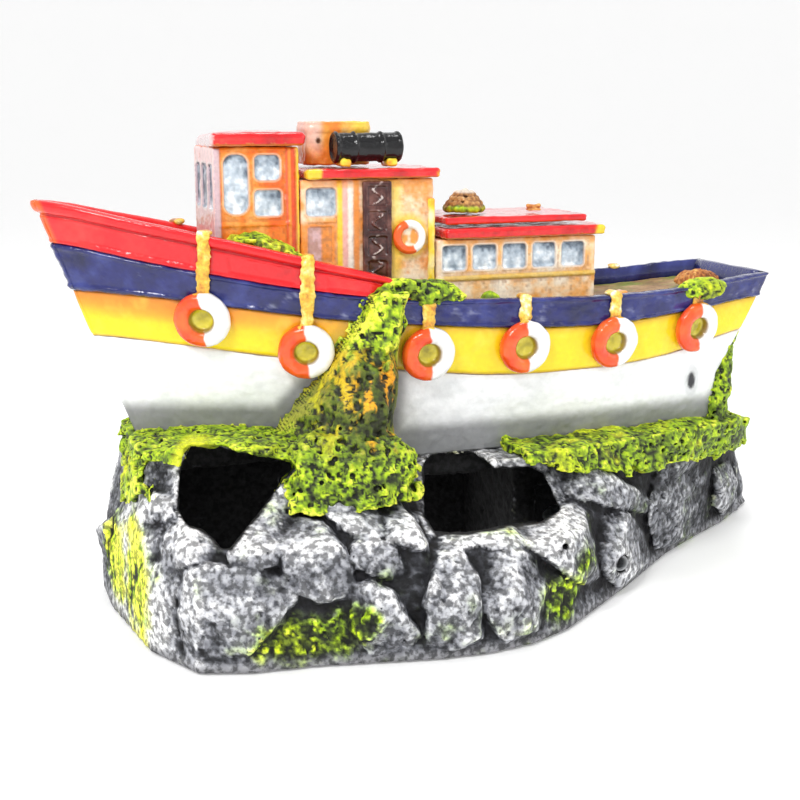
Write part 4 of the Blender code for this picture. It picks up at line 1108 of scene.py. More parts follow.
ob, p, slope, near, far = cast("aft_cabin_casting", aft_low - (2, 2, 1), aft_high + (2, 2, 1), 0.45,
                               aft_cabin_form, wall_grain(351, 1.5))
x, y, z = p[:, 0], p[:, 1], p[:, 2]
tone = airbrushed(p, 361, (0.93, 0.70, 0.44), (0.90, 0.42, 0.10), (0.94, 0.86, 0.72), 6)
tone = over(tone, 0.5 * edge(-np.abs(z - 121.8), -0.9, 0.4), (0.88, 0.40, 0.10))
# Painted shade: darker brown in the recesses.
tone = over(tone, 0.5 * edge(-near, 0.08, 0.08), (0.35, 0.16, 0.08))
for k, outline in enumerate(aft_windows):
    glaze(p, tone, x, np.abs(slope[:, 1]) > 0.3, outline, pale_frame, k)
for outline in end_windows:
    glaze(p, tone, y, slope[:, 0] > 0.3, outline, pale_frame, 9)
tone = over(tone, 0.8 * edge(-np.abs(z - 109.3), -0.9, 0.3), (0.70, 0.46, 0.06))
tone = over(tone, 0.35 * edge(-np.abs(x + 16), -1.5, 0.5), (0.90, 0.88, 0.84))
brush(ob, tone)
fit(ob, house_lacquer, "cabin_peach", "ornament", "aft_cabin")

tip_yellow = (0.90, 0.66, 0.02)
roof_lacquer = painted_resin("roof_lacquer", 0.14, 0.9, 1.6, 0.08, 2.4, 0.5)


def red_roof(name, node, seed, edge_round=1.5, tips=(), trim=0.0, visor=0.0):
    """A red roof board with a rolled edge, slightly wavy, its fascia marked by a groove."""
    low, high = cad_box(node)
    low = low + (trim, 0, 0)

    def form(p):
        across = np.clip((p[:, 1] - low[1]) / (high[1] - low[1]), 0, 1) * visor
        fore = np.clip((high[0] - p[:, 0]) / (high[0] - low[0]), 0, 1)
        q = p + np.stack([-1.3 * across * fore, 0 * fore, across * edge(fore, 0.8, 0.25)], -1)
        d = block(q, low, high - (0, 0, 0.5), edge_round)
        mid = 0.5 * (low + high)
        crown = 0.5 * np.clip(1 - ((p[:, 1] - mid[1]) / (0.5 * (high[1] - low[1]))) ** 2, 0, 1)
        d = np.maximum(d, p[:, 2] - high[2] + 0.6 - crown)
        line = low[2] + 0.36 * (high[2] - low[2])
        rim = block(p, low + (2, 2, -3), high + (-2, -2, 3), 0.5)
        return d + 0.35 * np.exp(-((p[:, 2] - line) / 0.45) ** 2) * edge(rim, 0.2, 0.4)

    ob, p, slope, near, far = cast(name, low - 2, high + 2, 0.5, form,
                                   lambda q: 0.14 * lumps(q, 5, seed, 2)
                                   + 0.08 * lumps(q, 2, seed + 1, 2))
    tone = tones(0.5 + 0.5 * lumps(p, 6, seed + 2, 4), (0, 0.5, 1),
                 ((0.42, 0.003, 0.006), (0.72, 0.008, 0.012), (0.86, 0.03, 0.03)))
    # Painted shade: darker in the recesses and dark orange on the underside.
    tone = over(tone, 0.5 * edge(-near, 0.05, 0.06), (0.25, 0.0, 0.0))
    tone = over(tone, 0.7 * edge(-slope[:, 2], 0.5, 0.3), (0.55, 0.22, 0.03))
    # Painted reflection: the fore-facing front of the visor is painted pale pink.
    if visor:
        tone = over(tone, 0.85 * edge(-slope[:, 0], 0.55, 0.25) * edge(-p[:, 0], -low[0] - 5, 1),
                    (0.76, 0.62, 0.62))
    for tip in tips:
        r = np.linalg.norm(p - np.array(tip[:3]), axis=1)
        tone = over(tone, 0.9 * edge(-r - 0.6 * lumps(p, 2, seed + 5, 2), -tip[3], 0.7), tip[4])
    brush(ob, tone)
    fit(ob, roof_lacquer, "bulwark_red", "ornament", node)


red_roof("wheelhouse_roof_casting", "wheelhouse_roof", 371, 1.8, trim=3.0, visor=2.2)
red_roof("mid_cabin_roof_casting", "mid_cabin_roof", 375, 1.3,
         ((-60, -2, 145, 3.6, (0.88, 0.62, 0.03)), (-13.5, -2.5, 144, 3.0, tip_yellow)))
red_roof("aft_cabin_roof_casting", "aft_cabin_roof", 381, 1.5,
         ((44.5, -4, 124, 3.4, tip_yellow),))
red_roof("aft_roof_rim_casting", "aft_roof_rim", 385, 1.1)

# ---- Wall gear ----
# Brown ladder, orange and white life ring and the yellow corner posts are small castings glued
# to the mid cabin.


def ladder_twist(p):
    """Mm outside the twisted cord moulded in the bays."""
    middle = 0.5 * (ladder_low[0] + ladder_high[0])
    return np.abs(p[:, 0] - middle - 1.5 * np.sin((p[:, 2] - ladder_low[2]) * 1.15)) - 0.55


def ladder_form(p):
    x, z = p[:, 0], p[:, 2]
    lo, hi = ladder_low, ladder_high
    d = block(p, lo, hi, 0.5)
    tall = (hi[2] - lo[2] - 1.4) / 4
    f = ((z - lo[2] - 0.7) / tall) % 1.0
    bay = panel(x, (f - 0.5) * tall, lo[0] + 1.7, hi[0] - 1.7, -0.5 * tall + 0.9,
                0.5 * tall - 0.9, 0.8)
    d = d + 0.45 * edge(-bay, 0.0, 0.3)
    return d - 0.55 * edge(-ladder_twist(p), 0.0, 0.35) * edge(-bay, 0.5, 0.3)


gear_lacquer = painted_resin("gear_lacquer", 0.2, 0.7, 1.2, 0.10, 1.2, 0.4)
ob, p, slope, near, far = cast("wall_ladder_casting", ladder_low - 1, ladder_high + 1, 0.3,
                               ladder_form, lambda q: 0.08 * lumps(q, 1.6, 391, 2), 2.0, (0.7, 2.0))
# Painted shade and highlight: darker in the recessed bays, lighter on the raised frame.
tone = tones(0.45 + 1.0 * near + 0.3 * lumps(p, 3, 393, 3), (0, 0.5, 1),
             ((0.010, 0.003, 0.003), (0.055, 0.012, 0.010), (0.22, 0.09, 0.07)))
# The cord's pale paint, laid on its crests as painted highlight.
cord_paint_and_highlight = edge(-ladder_twist(p), 0.1, 0.3) * edge(near, 0.02, 0.08)
cord_paint_and_highlight = cord_paint_and_highlight * edge(lumps(p, 1.8, 394, 2), 0.0, 0.4)
tone = over(tone, 0.8 * cord_paint_and_highlight, (0.72, 0.62, 0.58))
brush(ob, tone)
fit(ob, gear_lacquer, "ladder_brown", "ornament", "wall_ladder")

ring_mid = 0.5 * (ring_low + ring_high)


def cabin_ring_form(p):
    u, v = p[:, 0] - ring_mid[0], p[:, 2] - ring_mid[2]
    r = np.hypot(u, v)
    tube = np.hypot((r - 4.3), (p[:, 1] - ring_high[1] + 1.1) * 1.1) - 1.45
    plate = np.maximum(r - 4.0, np.abs(p[:, 1] - ring_high[1] + 0.35) - 0.5)
    return np.maximum(np.minimum(tube, plate), p[:, 1] - ring_high[1])


ob, p, slope, near, far = cast("cabin_life_ring_casting", ring_low - 1.2, ring_high + 1.2, 0.3,
                               cabin_ring_form, lambda q: 0.07 * lumps(q, 1.8, 395, 2), 2.0)
u, v = p[:, 0] - ring_mid[0], p[:, 2] - ring_mid[2]
r = np.hypot(u, v)
cut = edge(u + 0.35 * v + 0.5 * lumps(p, 2.2, 397, 2), 0.2, 0.4)
tone = over(np.tile((0.86, 0.12, 0.015), (len(p), 1)), cut, (0.92, 0.91, 0.89))
middle = over(np.tile((0.85, 0.34, 0.06), (len(p), 1)), edge(lumps(p, 2.4, 399, 2), 0.1, 0.4),
              (0.92, 0.80, 0.62))
brush(ob, over(tone, edge(-r, -3.0, 0.3), middle))
fit(ob, gear_lacquer, "ring_orange_red", "ornament", "cabin_life_ring")

for label in ("port", "starboard"):
    low, high = cad_box("cabin_post_" + label)
    ob, p, slope, near, far = cast("cabin_post_%s_casting" % label, low - 1, high + 1, 0.32,
                                   lambda q: block(q, low, high, 0.6),
                                   lambda q: 0.16 * lumps(q, 2.2, 401, 2), 2.0)
    tone = tones(0.5 + 0.6 * lumps(p, 4.5, 403, 2), (0, 0.5, 1),
                 ((0.88, 0.34, 0.02), (0.92, 0.66, 0.04), (0.95, 0.86, 0.60)))
    brush(ob, tone)
    fit(ob, gear_lacquer, "hull_yellow", "ornament", "cabin_post_" + label)

# ---- Roof gear ----
# The funnel is an orange box with rounded corners. Before it a black fuel drum with three
# hoops lies on two yellow chocks. On the aft roof sit a coil of rope and a cleat.

funnel_low, funnel_high = cad_box("funnel")


def funnel_form(p):
    low, high = funnel_low, funnel_high
    q = p - 0.5 * (low + high)
    half = 0.5 * (high - low)
    flat = panel(q[:, 0], q[:, 1], -half[0], half[0], -half[1], half[1], 3.4)
    band = np.abs(p[:, 2] - high[2] + 2.6) - 1.0
    flat = flat + 0.35 - 0.4 * edge(-band, 0, 0.4)
    d = np.maximum(flat, np.maximum(low[2] - p[:, 2], p[:, 2] - high[2] + 0.2))
    inner = panel(q[:, 0], q[:, 1], -half[0] + 1.7, half[0] - 1.7, -half[1] + 1.7, half[1] - 1.7,
                  2.4)
    return np.maximum(d, -np.maximum(inner, high[2] - 1.0 - p[:, 2]))


ob, p, slope, near, far = cast("funnel_casting", funnel_low - 1.5, funnel_high + 1.5, 0.45,
                               funnel_form, wall_grain(411, 2.0))
tone = airbrushed(p, 413, (0.90, 0.40, 0.06), (0.86, 0.24, 0.03), (0.92, 0.62, 0.24), 6)
tone = over(tone, 0.8 * edge(-p[:, 0], 52.5, 1.5) * edge(p[:, 2], 152, 4), (0.80, 0.56, 0.50))
tone = over(tone, 0.7 * edge(p[:, 0], -42, 3) * edge(p[:, 2], 150, 4), (0.93, 0.66, 0.05))
dot = np.hypot(p[:, 0] + 53.6, p[:, 2] - 155) - 0.9
tone = over(tone, edge(-dot, 0, 0.3) * (p[:, 1] < 13), (0.10, 0.04, 0.02))
brush(ob, tone)
fit(ob, house_lacquer, "wheelhouse_orange", "ornament", "funnel")

drum_low, drum_high = cad_box("fuel_drum")
drum_mid = 0.5 * (drum_low + drum_high)
drum_radius, hoop_height, hoop_places = 4.65, 0.55, (10.6, 4.6)


def drum_form(p):
    u = p[:, 0] - drum_mid[0]
    r = np.hypot(p[:, 1] - drum_mid[1], p[:, 2] - drum_mid[2])
    half = 0.5 * (drum_high[0] - drum_low[0])
    hoop = sum(np.exp(-((np.abs(u) - at) / 0.55) ** 2) for at in hoop_places)
    side = r - drum_radius - hoop_height * hoop
    end = np.abs(u) - half + 0.1 + 0.7 * edge(-r, -3.9, 0.4)
    return np.maximum(side, end)


ob, p, slope, near, far = cast("fuel_drum_casting", drum_low - 1, drum_high + 1, 0.3, drum_form,
                               lambda q: 0.10 * lumps(q, 3.0, 421, 3), 2.0)
brush(ob, np.tile((0.008, 0.008, 0.009), (len(p), 1)))
drum_lacquer = painted_resin("drum_lacquer", 0.07, 0.2, 1.5, 0.1, 2.4, 0.5)
fit(ob, drum_lacquer, "drum_black", "ornament", "fuel_drum")

for label in ("fore", "aft"):
    low, high = cad_box("drum_chock_" + label)
    ob, p, slope, near, far = cast(
        "drum_chock_%s_casting" % label, low - 1.2, high + 1.2, 0.3,
        lambda q: np.maximum(block(q, low - (0.4, 0.4, 0), high + (0.4, 0.4, 0.4), 1.0),
                             -drum_form(q) - 0.1),
        lambda q: 0.3 * lumps(q, 2.0, 431, 2), 2.0)
    tone = tones(0.5 + 0.6 * lumps(p, 3, 433, 2), (0, 0.5, 1),
                 ((0.80, 0.30, 0.02), (0.90, 0.62, 0.03), (0.94, 0.80, 0.10)))
    brush(ob, tone)
    fit(ob, gear_lacquer, "hull_yellow", "ornament", "drum_chock_" + label)

coil_low, coil_high = cad_box("roof_rope_coil")
coil_mid = 0.5 * (coil_low + coil_high)


def coil_form(p):
    u, v, z = p[:, 0] - coil_mid[0], p[:, 1] - coil_mid[1], p[:, 2] - coil_low[2]
    r = np.hypot(u, v)
    turn = np.arctan2(v, u)
    d = np.full(len(p), 9.0)
    for level, radius in enumerate((5.8, 5.0, 3.9, 2.6)):
        rope = np.hypot(r - radius, z - 1.2 - 1.55 * level) - 1.25
        d = np.minimum(d, rope + 0.14 * np.sin(turn * 16 + 3 * level))
    core = np.linalg.norm(np.stack([u / 5.2, v / 5.2, (z - 0.5) / 5.6], -1), axis=1) * 4.6 - 4.6
    knob = np.linalg.norm(np.stack([u, v, z - 6.5], -1), axis=1) - 1.5
    return np.maximum(np.minimum(np.minimum(d, core), knob), -z)


ob, p, slope, near, far = cast("roof_rope_coil_casting", coil_low - 1.5, coil_high + 1.5, 0.38,
                               coil_form, sponge(441, 0.28), 2.5, (0.8, 2.0))
z = p[:, 2] - coil_low[2]
# Painted shade and highlight: dark between the turns, pale tan on their crests.
tone = tones(0.45 + 1.1 * near + 0.35 * lumps(p, 3, 443, 3), (0, 0.4, 0.8, 1.1),
             ((0.05, 0.02, 0.01), (0.30, 0.13, 0.04), (0.55, 0.30, 0.10), (0.80, 0.66, 0.42)))
tone = over(tone, edge(-z - lumps(p, 3, 445, 2), -2.0, 1.0), mossed(p, near, far, 0.15))
tone = over(tone, 0.75 * edge(z, 6.6, 0.5), (0.80, 0.74, 0.64))
brush(ob, tone)
fit(ob, weed_finish, "rust_brown", "ornament", "roof_rope_coil")


def small_casting(name, node, form, seed, colours_at, finish, slot, cell=0.35, rough=0.15):
    low, high = cad_box(node)
    ob, p, slope, near, far = cast(name, low - 1.6, high + 1.6, cell,
                                   lambda q: form(q, low, high),
                                   lambda q: rough * lumps(q, 2.4, seed, 3), 2.5, (0.8, 2.0))
    brush(ob, colours_at(p, near, far, slope))
    fit(ob, finish, slot, "ornament", node)


def cleat_form(p, low, high):
    mid = 0.5 * (low + high)
    q = p - mid
    post = block(p, (mid[0] - 0.9, low[1] + 0.3, low[2]), (mid[0] + 0.9, high[1] - 0.3, high[2]),
                 0.4)
    horn = np.hypot(np.maximum(np.abs(q[:, 0]) - 2.0, 0),
                    np.hypot(q[:, 1], p[:, 2] - high[2] + 0.3 - 0.06 * q[:, 0] ** 2)) - 0.8
    foot = block(p, (low[0] - 0.6, low[1] - 0.3, low[2]), (high[0] + 0.6, high[1] + 0.3,
                                                           low[2] + 0.7), 0.3)
    return np.minimum(np.minimum(post, horn), foot)


# Dark brown in the hollows, lighter on raised parts: rust on the cleat, painted shade on the net.
def rust_and_shade(p, near, far, slope):
    return tones(0.45 + 0.8 * near + 0.4 * lumps(p, 2.5, 451, 3), (0, 0.5, 1),
                 ((0.10, 0.03, 0.01), (0.45, 0.14, 0.03), (0.75, 0.42, 0.12)))


small_casting("roof_cleat_casting", "roof_cleat", cleat_form, 453, rust_and_shade, weed_finish,
              "rust_brown", 0.28)

# ---- Deck gear ----
# A green float and an orange box stand by the aft cabin, and a brown net lies heaped aft.

small_casting("deck_float_casting", "deck_float",
              lambda p, low, high: np.maximum(np.linalg.norm(
                  (p - 0.5 * (low + high)) / (0.5 * (high - low)), axis=1) * 3.0 - 3.0
                  - 0.35 * edge(-np.abs(p[:, 2] - 0.5 * (low + high)[2]), -0.5, 0.3),
                  low[2] - p[:, 2]),
              461, lambda p, near, far, slope: mossed(p, near, far, 0.12), weed_finish,
              "moss_green", 0.3, 0.35)
small_casting("deck_box_casting", "deck_box",
              lambda p, low, high: block(p, low, high, 0.9)
              + 0.5 * edge(-np.abs(p[:, 2] - low[2] - 3.7), -0.35, 0.2),
              465, lambda p, near, far, slope: airbrushed(p, 467, (0.88, 0.34, 0.05),
                                                          (0.70, 0.16, 0.03),
                                                          (0.92, 0.60, 0.22), 3),
              gear_lacquer, "wheelhouse_orange", 0.3, 0.3)


def net_form(p, low, high):
    mid = 0.5 * (low + high)
    q = (p - (mid[0] + 1.5, mid[1] - 1.0, low[2])) / (8.0, 8.0, 5.2)
    heap = np.linalg.norm(q, axis=1) * 5.5 - 5.2 + 1.1 * lumps(p, 7, 471, 2)
    mesh_u = np.abs((p[:, 0] + p[:, 1] + 1.2 * lumps(p, 9, 473, 1)) % 2.4 - 1.2)
    mesh_v = np.abs((p[:, 0] - p[:, 1] + 1.2 * lumps(p, 9, 475, 1)) % 2.4 - 1.2)
    return np.maximum(heap - 0.45 * edge(-np.minimum(mesh_u, mesh_v), -0.45, 0.3),
                      low[2] - p[:, 2])


small_casting("stern_net_heap_casting", "stern_net_heap", net_form, 477, rust_and_shade, weed_finish,
              "rust_brown", 0.45, 0.3)

# ---- Fenders ----
# Six ring fenders a side, each cast with a dished middle, half orange-red and half white, and
# hung on an ochre strap that goes up over the rail. The starboard ones match the port ones.

fender_drop = (26.0, 29.0, 17.0, 15.5, 15.5, 14.0)
ring_out, ring_tube, ring_lift = 6.3, 2.75, 0.95
ring_lacquer = painted_resin("ring_lacquer", 0.18, 0.8, 1.6, 0.07, 2.0, 0.35)
strap_lacquer = painted_resin("strap_lacquer", 0.3, 0.5, 0.9, 0.25, 0.8, 0.5)


def hull_point(s, z, side):
    return np.array([float(stem_at(z) + s * (stern_at(z) - stem_at(z))),
                     middle_y + side * float(half_beam(s, z)), z])


def ring_seat(k, side):
    """Where fender k's flat back lies on the hull, the way it faces and its strap's height."""
    s_rail = float(station(fender_x[k], faired(rail, fender_along[k])))
    top = float(faired(rail if s_rail < 0.43 else red_foot, s_rail))
    z = top - fender_drop[k]
    s = float(station(fender_x[k], z))
    along = hull_point(s + 0.02, z, side) - hull_point(s - 0.02, z, side)
    up = hull_point(s, z + 3, side) - hull_point(s, z - 3, side)
    out = np.cross(along, up)
    out /= np.linalg.norm(out)
    out = out if out[1] * side > 0 else -out
    return hull_point(s, z, side) + out * ring_lift, out, top


def ring_skin():
    """The ring's points as radius and height round its section, from the middle outwards."""
    section = [(0.0, 1.05), (1.2, 0.95), (2.2, 0.95), (3.0, 1.15), (3.5, 1.5)]
    for k in range(15):
        a = math.pi * (1.0 - k / 14.0)
        section.append((ring_out + ring_tube * math.cos(a), 1.9 + 2.5 * math.sin(a) ** 0.85))
    return section + [(ring_out + ring_tube - 0.1, 1.0), (ring_out + ring_tube - 0.9, 0.1),
                      (0.0, 0.0)]


def fender(name, node, place, out, seed):
    section = ring_skin()
    turns, rows = 120, len(section)
    a = np.repeat(np.arange(turns) * 2 * math.pi / turns, rows)
    r = np.tile([q[0] for q in section], turns)
    h = np.tile([q[1] for q in section], turns)
    spot = np.stack([r * np.cos(a), r * np.sin(a), h], -1).astype(np.float32)
    wobble = lumps(spot + seed * 31.0, 4.0, 501, 3)
    h = h + 0.28 * wobble * (h > 0.5) * (r > 0.1)
    r = r + 0.16 * lumps(spot + seed * 17.0, 3.0, 503, 2) * (r > 3)
    right = np.cross(out, (0, 0, 1.0))
    right = right / np.linalg.norm(right)
    if right[0] < 0:
        right = -right
    up = np.cross(out, right)
    up = up if up[2] > 0 else -up
    places = (np.array(place) + (r * np.cos(a))[:, None] * right
              + (r * np.sin(a))[:, None] * up + h[:, None] * out)
    i, j = np.meshgrid(np.arange(turns), np.arange(rows - 1), indexing="ij")
    i2 = (i + 1) % turns
    faces = np.stack([i * rows + j, i2 * rows + j, i2 * rows + j + 1, i * rows + j + 1], -1)
    ob = resin(name, places, faces.reshape(-1, 4))
    turn_out(ob)
    u, v = r * np.cos(a), r * np.sin(a)
    ragged = 0.5 * lumps(spot + seed * 13.0, 2.6, 505, 2)
    white_part = edge(u * 0.96 + v * 0.10 + ragged, 0.4, 0.35)
    red_tone = tones(0.5 + 0.5 * lumps(spot + seed * 7.0, 5, 507, 3), (0, 1),
                     ((0.80, 0.05, 0.008), (0.92, 0.15, 0.02)))
    tone = over(red_tone, white_part, (0.92, 0.92, 0.91))
    mid_tone = tones(0.45 + 0.5 * lumps(spot + seed * 5.0, 3, 509, 3) + 0.12 * (r - 1.5),
                     (0, 0.5, 1), ((0.36, 0.30, 0.01), (0.66, 0.56, 0.02), (0.84, 0.74, 0.10)))
    tone = over(tone, edge(-r - 0.3 * ragged, -3.75, 0.3), mid_tone)
    brush(ob, over(tone, 0.8 * edge(-np.abs(r - 3.75), -0.35, 0.2), (0.20, 0.10, 0.01)))
    fit(ob, ring_lacquer, "ring_orange_red", "ornament", node)


def strap(name, node, k, side, place, out, top, seed):
    """Rope strap from the head of the ring up the side and over the rail."""
    line = [place + out * 3.2 + np.array([0, 0, 6.6])]
    z = line[0][2] + 1.5
    reach = 2.2 if k < 3 and top > 109 else 1.9
    while z < top - 0.4:
        s = float(station(fender_x[k], z))
        flat = out * (1, 1, 0) / np.linalg.norm(out[:2])
        line.append(hull_point(s, z, side) + flat * reach)
        z += 2.0
    s = float(station(fender_x[k], top))
    flat = out * (1, 1, 0) / np.linalg.norm(out[:2])
    line.append(hull_point(s, top, side) + flat * 1.4 + (0, 0, 0.7))
    line.append(hull_point(s, top, side) - flat * 2.0 + (0, 0, 0.7))
    line = np.array(line)
    along = np.array([-flat[1], flat[0], 0.0])

    def form(p):
        d = np.full(len(p), 9.0)
        for n, (a, b) in enumerate(zip(line, line[1:])):
            t = np.clip((p - a) @ (b - a) / ((b - a) @ (b - a)), 0, 1)
            q = p - a - t[:, None] * (b - a)
            wide = 2.8 if n == 0 else 2.2
            u = q @ along
            rest = np.linalg.norm(q - u[:, None] * along, axis=1)
            d = np.minimum(d, (np.sqrt((u / wide) ** 2 + (rest / 1.0) ** 2) - 1.0) * 1.05)
        blob = np.linalg.norm((p - line[0]) / (3.6, 1.9, 2.8), axis=1) * 2.2 - 2.2
        groove = 0.16 * np.abs(np.sin((p[:, 2] * 0.9 + (p - line[0]) @ along * 0.6) * 1.3))
        return np.minimum(d, blob) + groove - 0.1

    ob, p, slope, near, far = cast(name, line.min(0) - 4.2, line.max(0) + 3.6, 0.42, form,
                                   lambda q: 0.27 * lumps(q, 3.0, 511 + seed, 3), 2.0, (0.8, 2.0))
    # Painted shade and highlight: dark in the folds, near-white on the crests.
    t = 0.48 + 0.8 * near + 0.45 * lumps(p + seed * 9.0, 3.2, 513, 3)
    tone = tones(t, (0, 0.3, 0.6, 0.9, 1.1), ((0.28, 0.08, 0.02), (0.62, 0.26, 0.03),
                                              (0.82, 0.50, 0.05), (0.88, 0.70, 0.22),
                                              (0.90, 0.88, 0.84)))
    brush(ob, tone)
    fit(ob, strap_lacquer, "rope_ochre", "ornament", node)


for side, label in ((-1, "port"), (1, "starboard")):
    for k in range(6):
        place, out, top = ring_seat(k, side)
        fender("fender_%s_%d_casting" % (label, k + 1), "fender_%s_%d" % (label, k + 1), place,
               out, k + (0 if side < 0 else 6))
        strap("fender_rope_%s_%d_casting" % (label, k + 1), "fender_rope_%s_%d" % (label, k + 1),
              k, side, place, out, top, k + (0 if side < 0 else 6))

# ---- Air line ----
# A moulded plastic nipple pushed into the rock takes the air pipe. A silicone hose inside
# carries the air to a fused-grit stone in a plastic clip. The stone pulls off its hose.


def plastic(name, colour, rough, grain_mm, clear=0.0):
    """Plain moulded plastic with a fine grain and slight streaks."""
    m = bpy.data.materials.new(name)
    m.use_nodes = True
    nodes, links = m.node_tree.nodes, m.node_tree.links
    skin = nodes["Principled BSDF"]
    skin.inputs["Roughness"].default_value = rough
    skin.inputs["Transmission Weight"].default_value = clear
    cloud = noise(nodes, links, grain_mm, 4.0)
    ramp = nodes.new("ShaderNodeValToRGB")
    ramp.color_ramp.elements[0].position = 0.3
    ramp.color_ramp.elements[1].position = 0.7
    ramp.color_ramp.elements[0].color = (*[0.75 * c for c in colour], 1)
    ramp.color_ramp.elements[1].color = (*[min(1.0, 1.2 * c) for c in colour], 1)
    links.new(cloud.outputs["Fac"], ramp.inputs["Fac"])
    links.new(ramp.outputs["Color"], skin.inputs["Base Color"])
    grained(nodes, links, cloud, 0.3, 0.1 * grain_mm)
    return m


nipple_plastic = plastic("nipple_plastic", (0.13, 0.135, 0.14), 0.42, 1.2)
hose_silicone = plastic("hose_silicone", (0.70, 0.74, 0.74), 0.3, 3.0, 0.35)
for node, finish, slot in (("air_hose", hose_silicone, "hose_silicone"),
                           ("stone_clip", nipple_plastic, "nipple_plastic")):
    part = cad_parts[node]
    part.data.materials.clear()
    part.data.materials.append(finish)

nipple_low, nipple_high = cad_box("air_nipple")
nipple_mid = 0.5 * (nipple_low + nipple_high)
nipple_radius, nipple_hole = 2.8, 1.9


def nipple_form(p):
    r = np.hypot(p[:, 0] - nipple_mid[0], p[:, 2] - nipple_mid[2])
    t = p[:, 1] - nipple_low[1]
    rib = 0.25 * np.exp(-((t - 1.6) / 0.7) ** 2) + 0.2 * np.exp(-((t - 27) / 0.8) ** 2)
    tube = np.maximum(r - nipple_radius - rib,
                      nipple_hole + 0.35 * np.exp(-(t / 0.9) ** 2) - r)
    return np.maximum(tube, np.maximum(-t, p[:, 1] - nipple_high[1]))


ob, p, slope, near, far = cast("air_nipple_moulding", nipple_low - 1, nipple_high + 1, 0.35,
                               nipple_form)
# Painted shade and highlight: darker in the bore, lighter on the ribs; the outer end is paler.
t = 0.5 + 0.6 * near + 0.3 * lumps(p, 2.5, 521, 3) + 0.5 * edge(-p[:, 1], 32.4, 0.4)
brush(ob, tones(t, (0, 0.5, 1.0), ((0.03, 0.03, 0.035), (0.12, 0.125, 0.13), (0.34, 0.35, 0.36))))
fit(ob, painted_resin("dusty_plastic", 0.45, 0.0, 1.0, 0.15, 0.9, 0.2), "nipple_plastic",
    "ornament", "air_nipple")

stone_low, stone_high = cad_box("air_stone")
stone_mid = 0.5 * (stone_low + stone_high)
grit_radius, grit_half, grit_centre = 6.9, 10.8, 15.2


def stone_form(p):
    r = np.hypot(p[:, 1] - stone_mid[1], p[:, 2] - stone_mid[2])
    t = p[:, 0] - stone_low[0]
    stem = np.maximum(r - 1.6 + 0.25 * np.abs(np.sin(t * 2.2)), np.maximum(-t, t - 6))
    along = np.abs(t - grit_centre)
    grit = np.maximum(r - grit_radius, along - grit_half)
    grit = np.maximum(grit, 0.72 * (r + along) - 0.72 * (grit_radius + grit_half) + 0.9)
    return np.minimum(stem, grit)


def stone_texture(p):
    grit, _ = crumbs(p, 1.1, 531)
    return np.where(p[:, 0] > stone_low[0] + 4.4, 0.5 * (0.55 - grit), 0.0)


ob, p, slope, near, far = cast("air_stone_grit", stone_low - 0.8, stone_high + 0.8, 0.4,
                               stone_form, stone_texture, 1.5, (0.7, 2.0))
# Painted shade and highlight: dark blue in the pits, pale blue on the grains.
t = 0.5 + 1.3 * near + 0.4 * lumps(p, 1.4, 533, 2)
tone = tones(t, (0, 0.5, 1.0), ((0.02, 0.05, 0.16), (0.10, 0.20, 0.44), (0.34, 0.46, 0.70)))
stem = 1 - edge(p[:, 0], stone_low[0] + 4.3, 0.2)
brush(ob, over(tone, stem, (0.20, 0.24, 0.30)))
fit(ob, painted_resin("fused_grit", 0.9, 0.0, 0.6, 0.35, 0.5, 0.6), "stone_blue", "air_stone",
    "air_stone")

# ---- Floor, light and camera ----
# The floor is a pale bowl that curves up all round. A small bright light hangs over the port
# bow, a weaker one overhead and a soft fill aft, in a bright room.

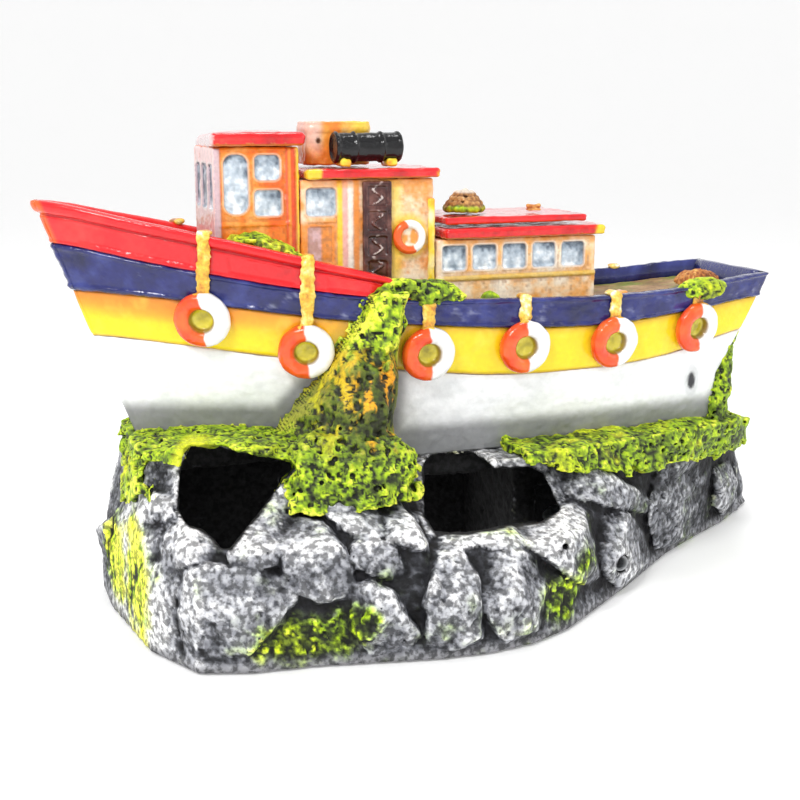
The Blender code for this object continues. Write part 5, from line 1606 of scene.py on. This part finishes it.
flat_reach, curve, curve_step, floor_drop = 2.0, 1.6, 0.131, 0.0005
rim = [(flat_reach, 0.0)]
for k in range(1, 13):
    rim.append((flat_reach + curve * math.sin(k * curve_step),
                curve - curve * math.cos(k * curve_step)))
rim.append((3.65, 3.2))
turns = 96
sweep = [(r * math.cos(k * 2 * math.pi / turns), r * math.sin(k * 2 * math.pi / turns),
          h - floor_drop) for r, h in rim for k in range(turns)]
sweep_mesh = bpy.data.meshes.new("floor")
sweep_mesh.from_pydata(sweep, [], [list(range(turns))] + [
    (row * turns + k, (row + 1) * turns + k, (row + 1) * turns + (k + 1) % turns,
     row * turns + (k + 1) % turns) for row in range(len(rim) - 1) for k in range(turns)])
sweep_mesh.polygons.foreach_set("use_smooth", [True] * len(sweep_mesh.polygons))
floor = bpy.data.objects.new("floor", sweep_mesh)
bpy.context.scene.collection.objects.link(floor)
pale = bpy.data.materials.new("pale_floor")
pale.use_nodes = True
pale_skin = pale.node_tree.nodes["Principled BSDF"]
for label, value in (("Base Color", (0.93, 0.93, 0.93, 1)), ("Roughness", 0.8),
                     ("Emission Color", (1, 1, 1, 1)), ("Emission Strength", 0.16)):
    pale_skin.inputs[label].default_value = value
floor.data.materials.append(pale)

world = bpy.data.worlds.new("room")
bpy.context.scene.world = world
world.use_nodes = True
world.node_tree.nodes["Background"].inputs["Color"].default_value = (1, 1, 1, 1)
world.node_tree.nodes["Background"].inputs["Strength"].default_value = 0.72
bpy.context.scene.view_settings.view_transform = "Standard"


def softbox(name, place, aim, size, power):
    light = bpy.data.lights.new(name, "AREA")
    light.shape = "RECTANGLE"
    light.size, light.size_y = size
    light.energy = power
    ob = bpy.data.objects.new(name, light)
    ob.location = place
    ob.rotation_euler = (Vector(aim) - Vector(place)).to_track_quat("-Z", "Y").to_euler()
    bpy.context.scene.collection.objects.link(ob)


softbox("key", (-0.55, -0.55, 0.75), (0, 0, 0.07), (0.26, 0.22), 5.4)
softbox("fill", (0.7, -0.5, 0.35), (0, 0, 0.07), (0.5, 0.5), 1.0)
softbox("top", (0.05, 0.1, 0.9), (0, 0, 0.07), (0.3, 0.2), 2.2)

lens = bpy.data.cameras.new("port_bow_view")
lens.lens = 58.5
lens.sensor_width = 36.0
camera = bpy.data.objects.new("port_bow_view", lens)
turn, dip = math.radians(20.0), math.radians(12.6)
look = Vector((math.sin(turn) * math.cos(dip), math.cos(turn) * math.cos(dip), -math.sin(dip)))
camera.location = (-0.177, -0.406, 0.165)
camera.rotation_euler = look.to_track_quat("-Z", "Y").to_euler()
bpy.context.scene.collection.objects.link(camera)
bpy.context.scene.camera = camera
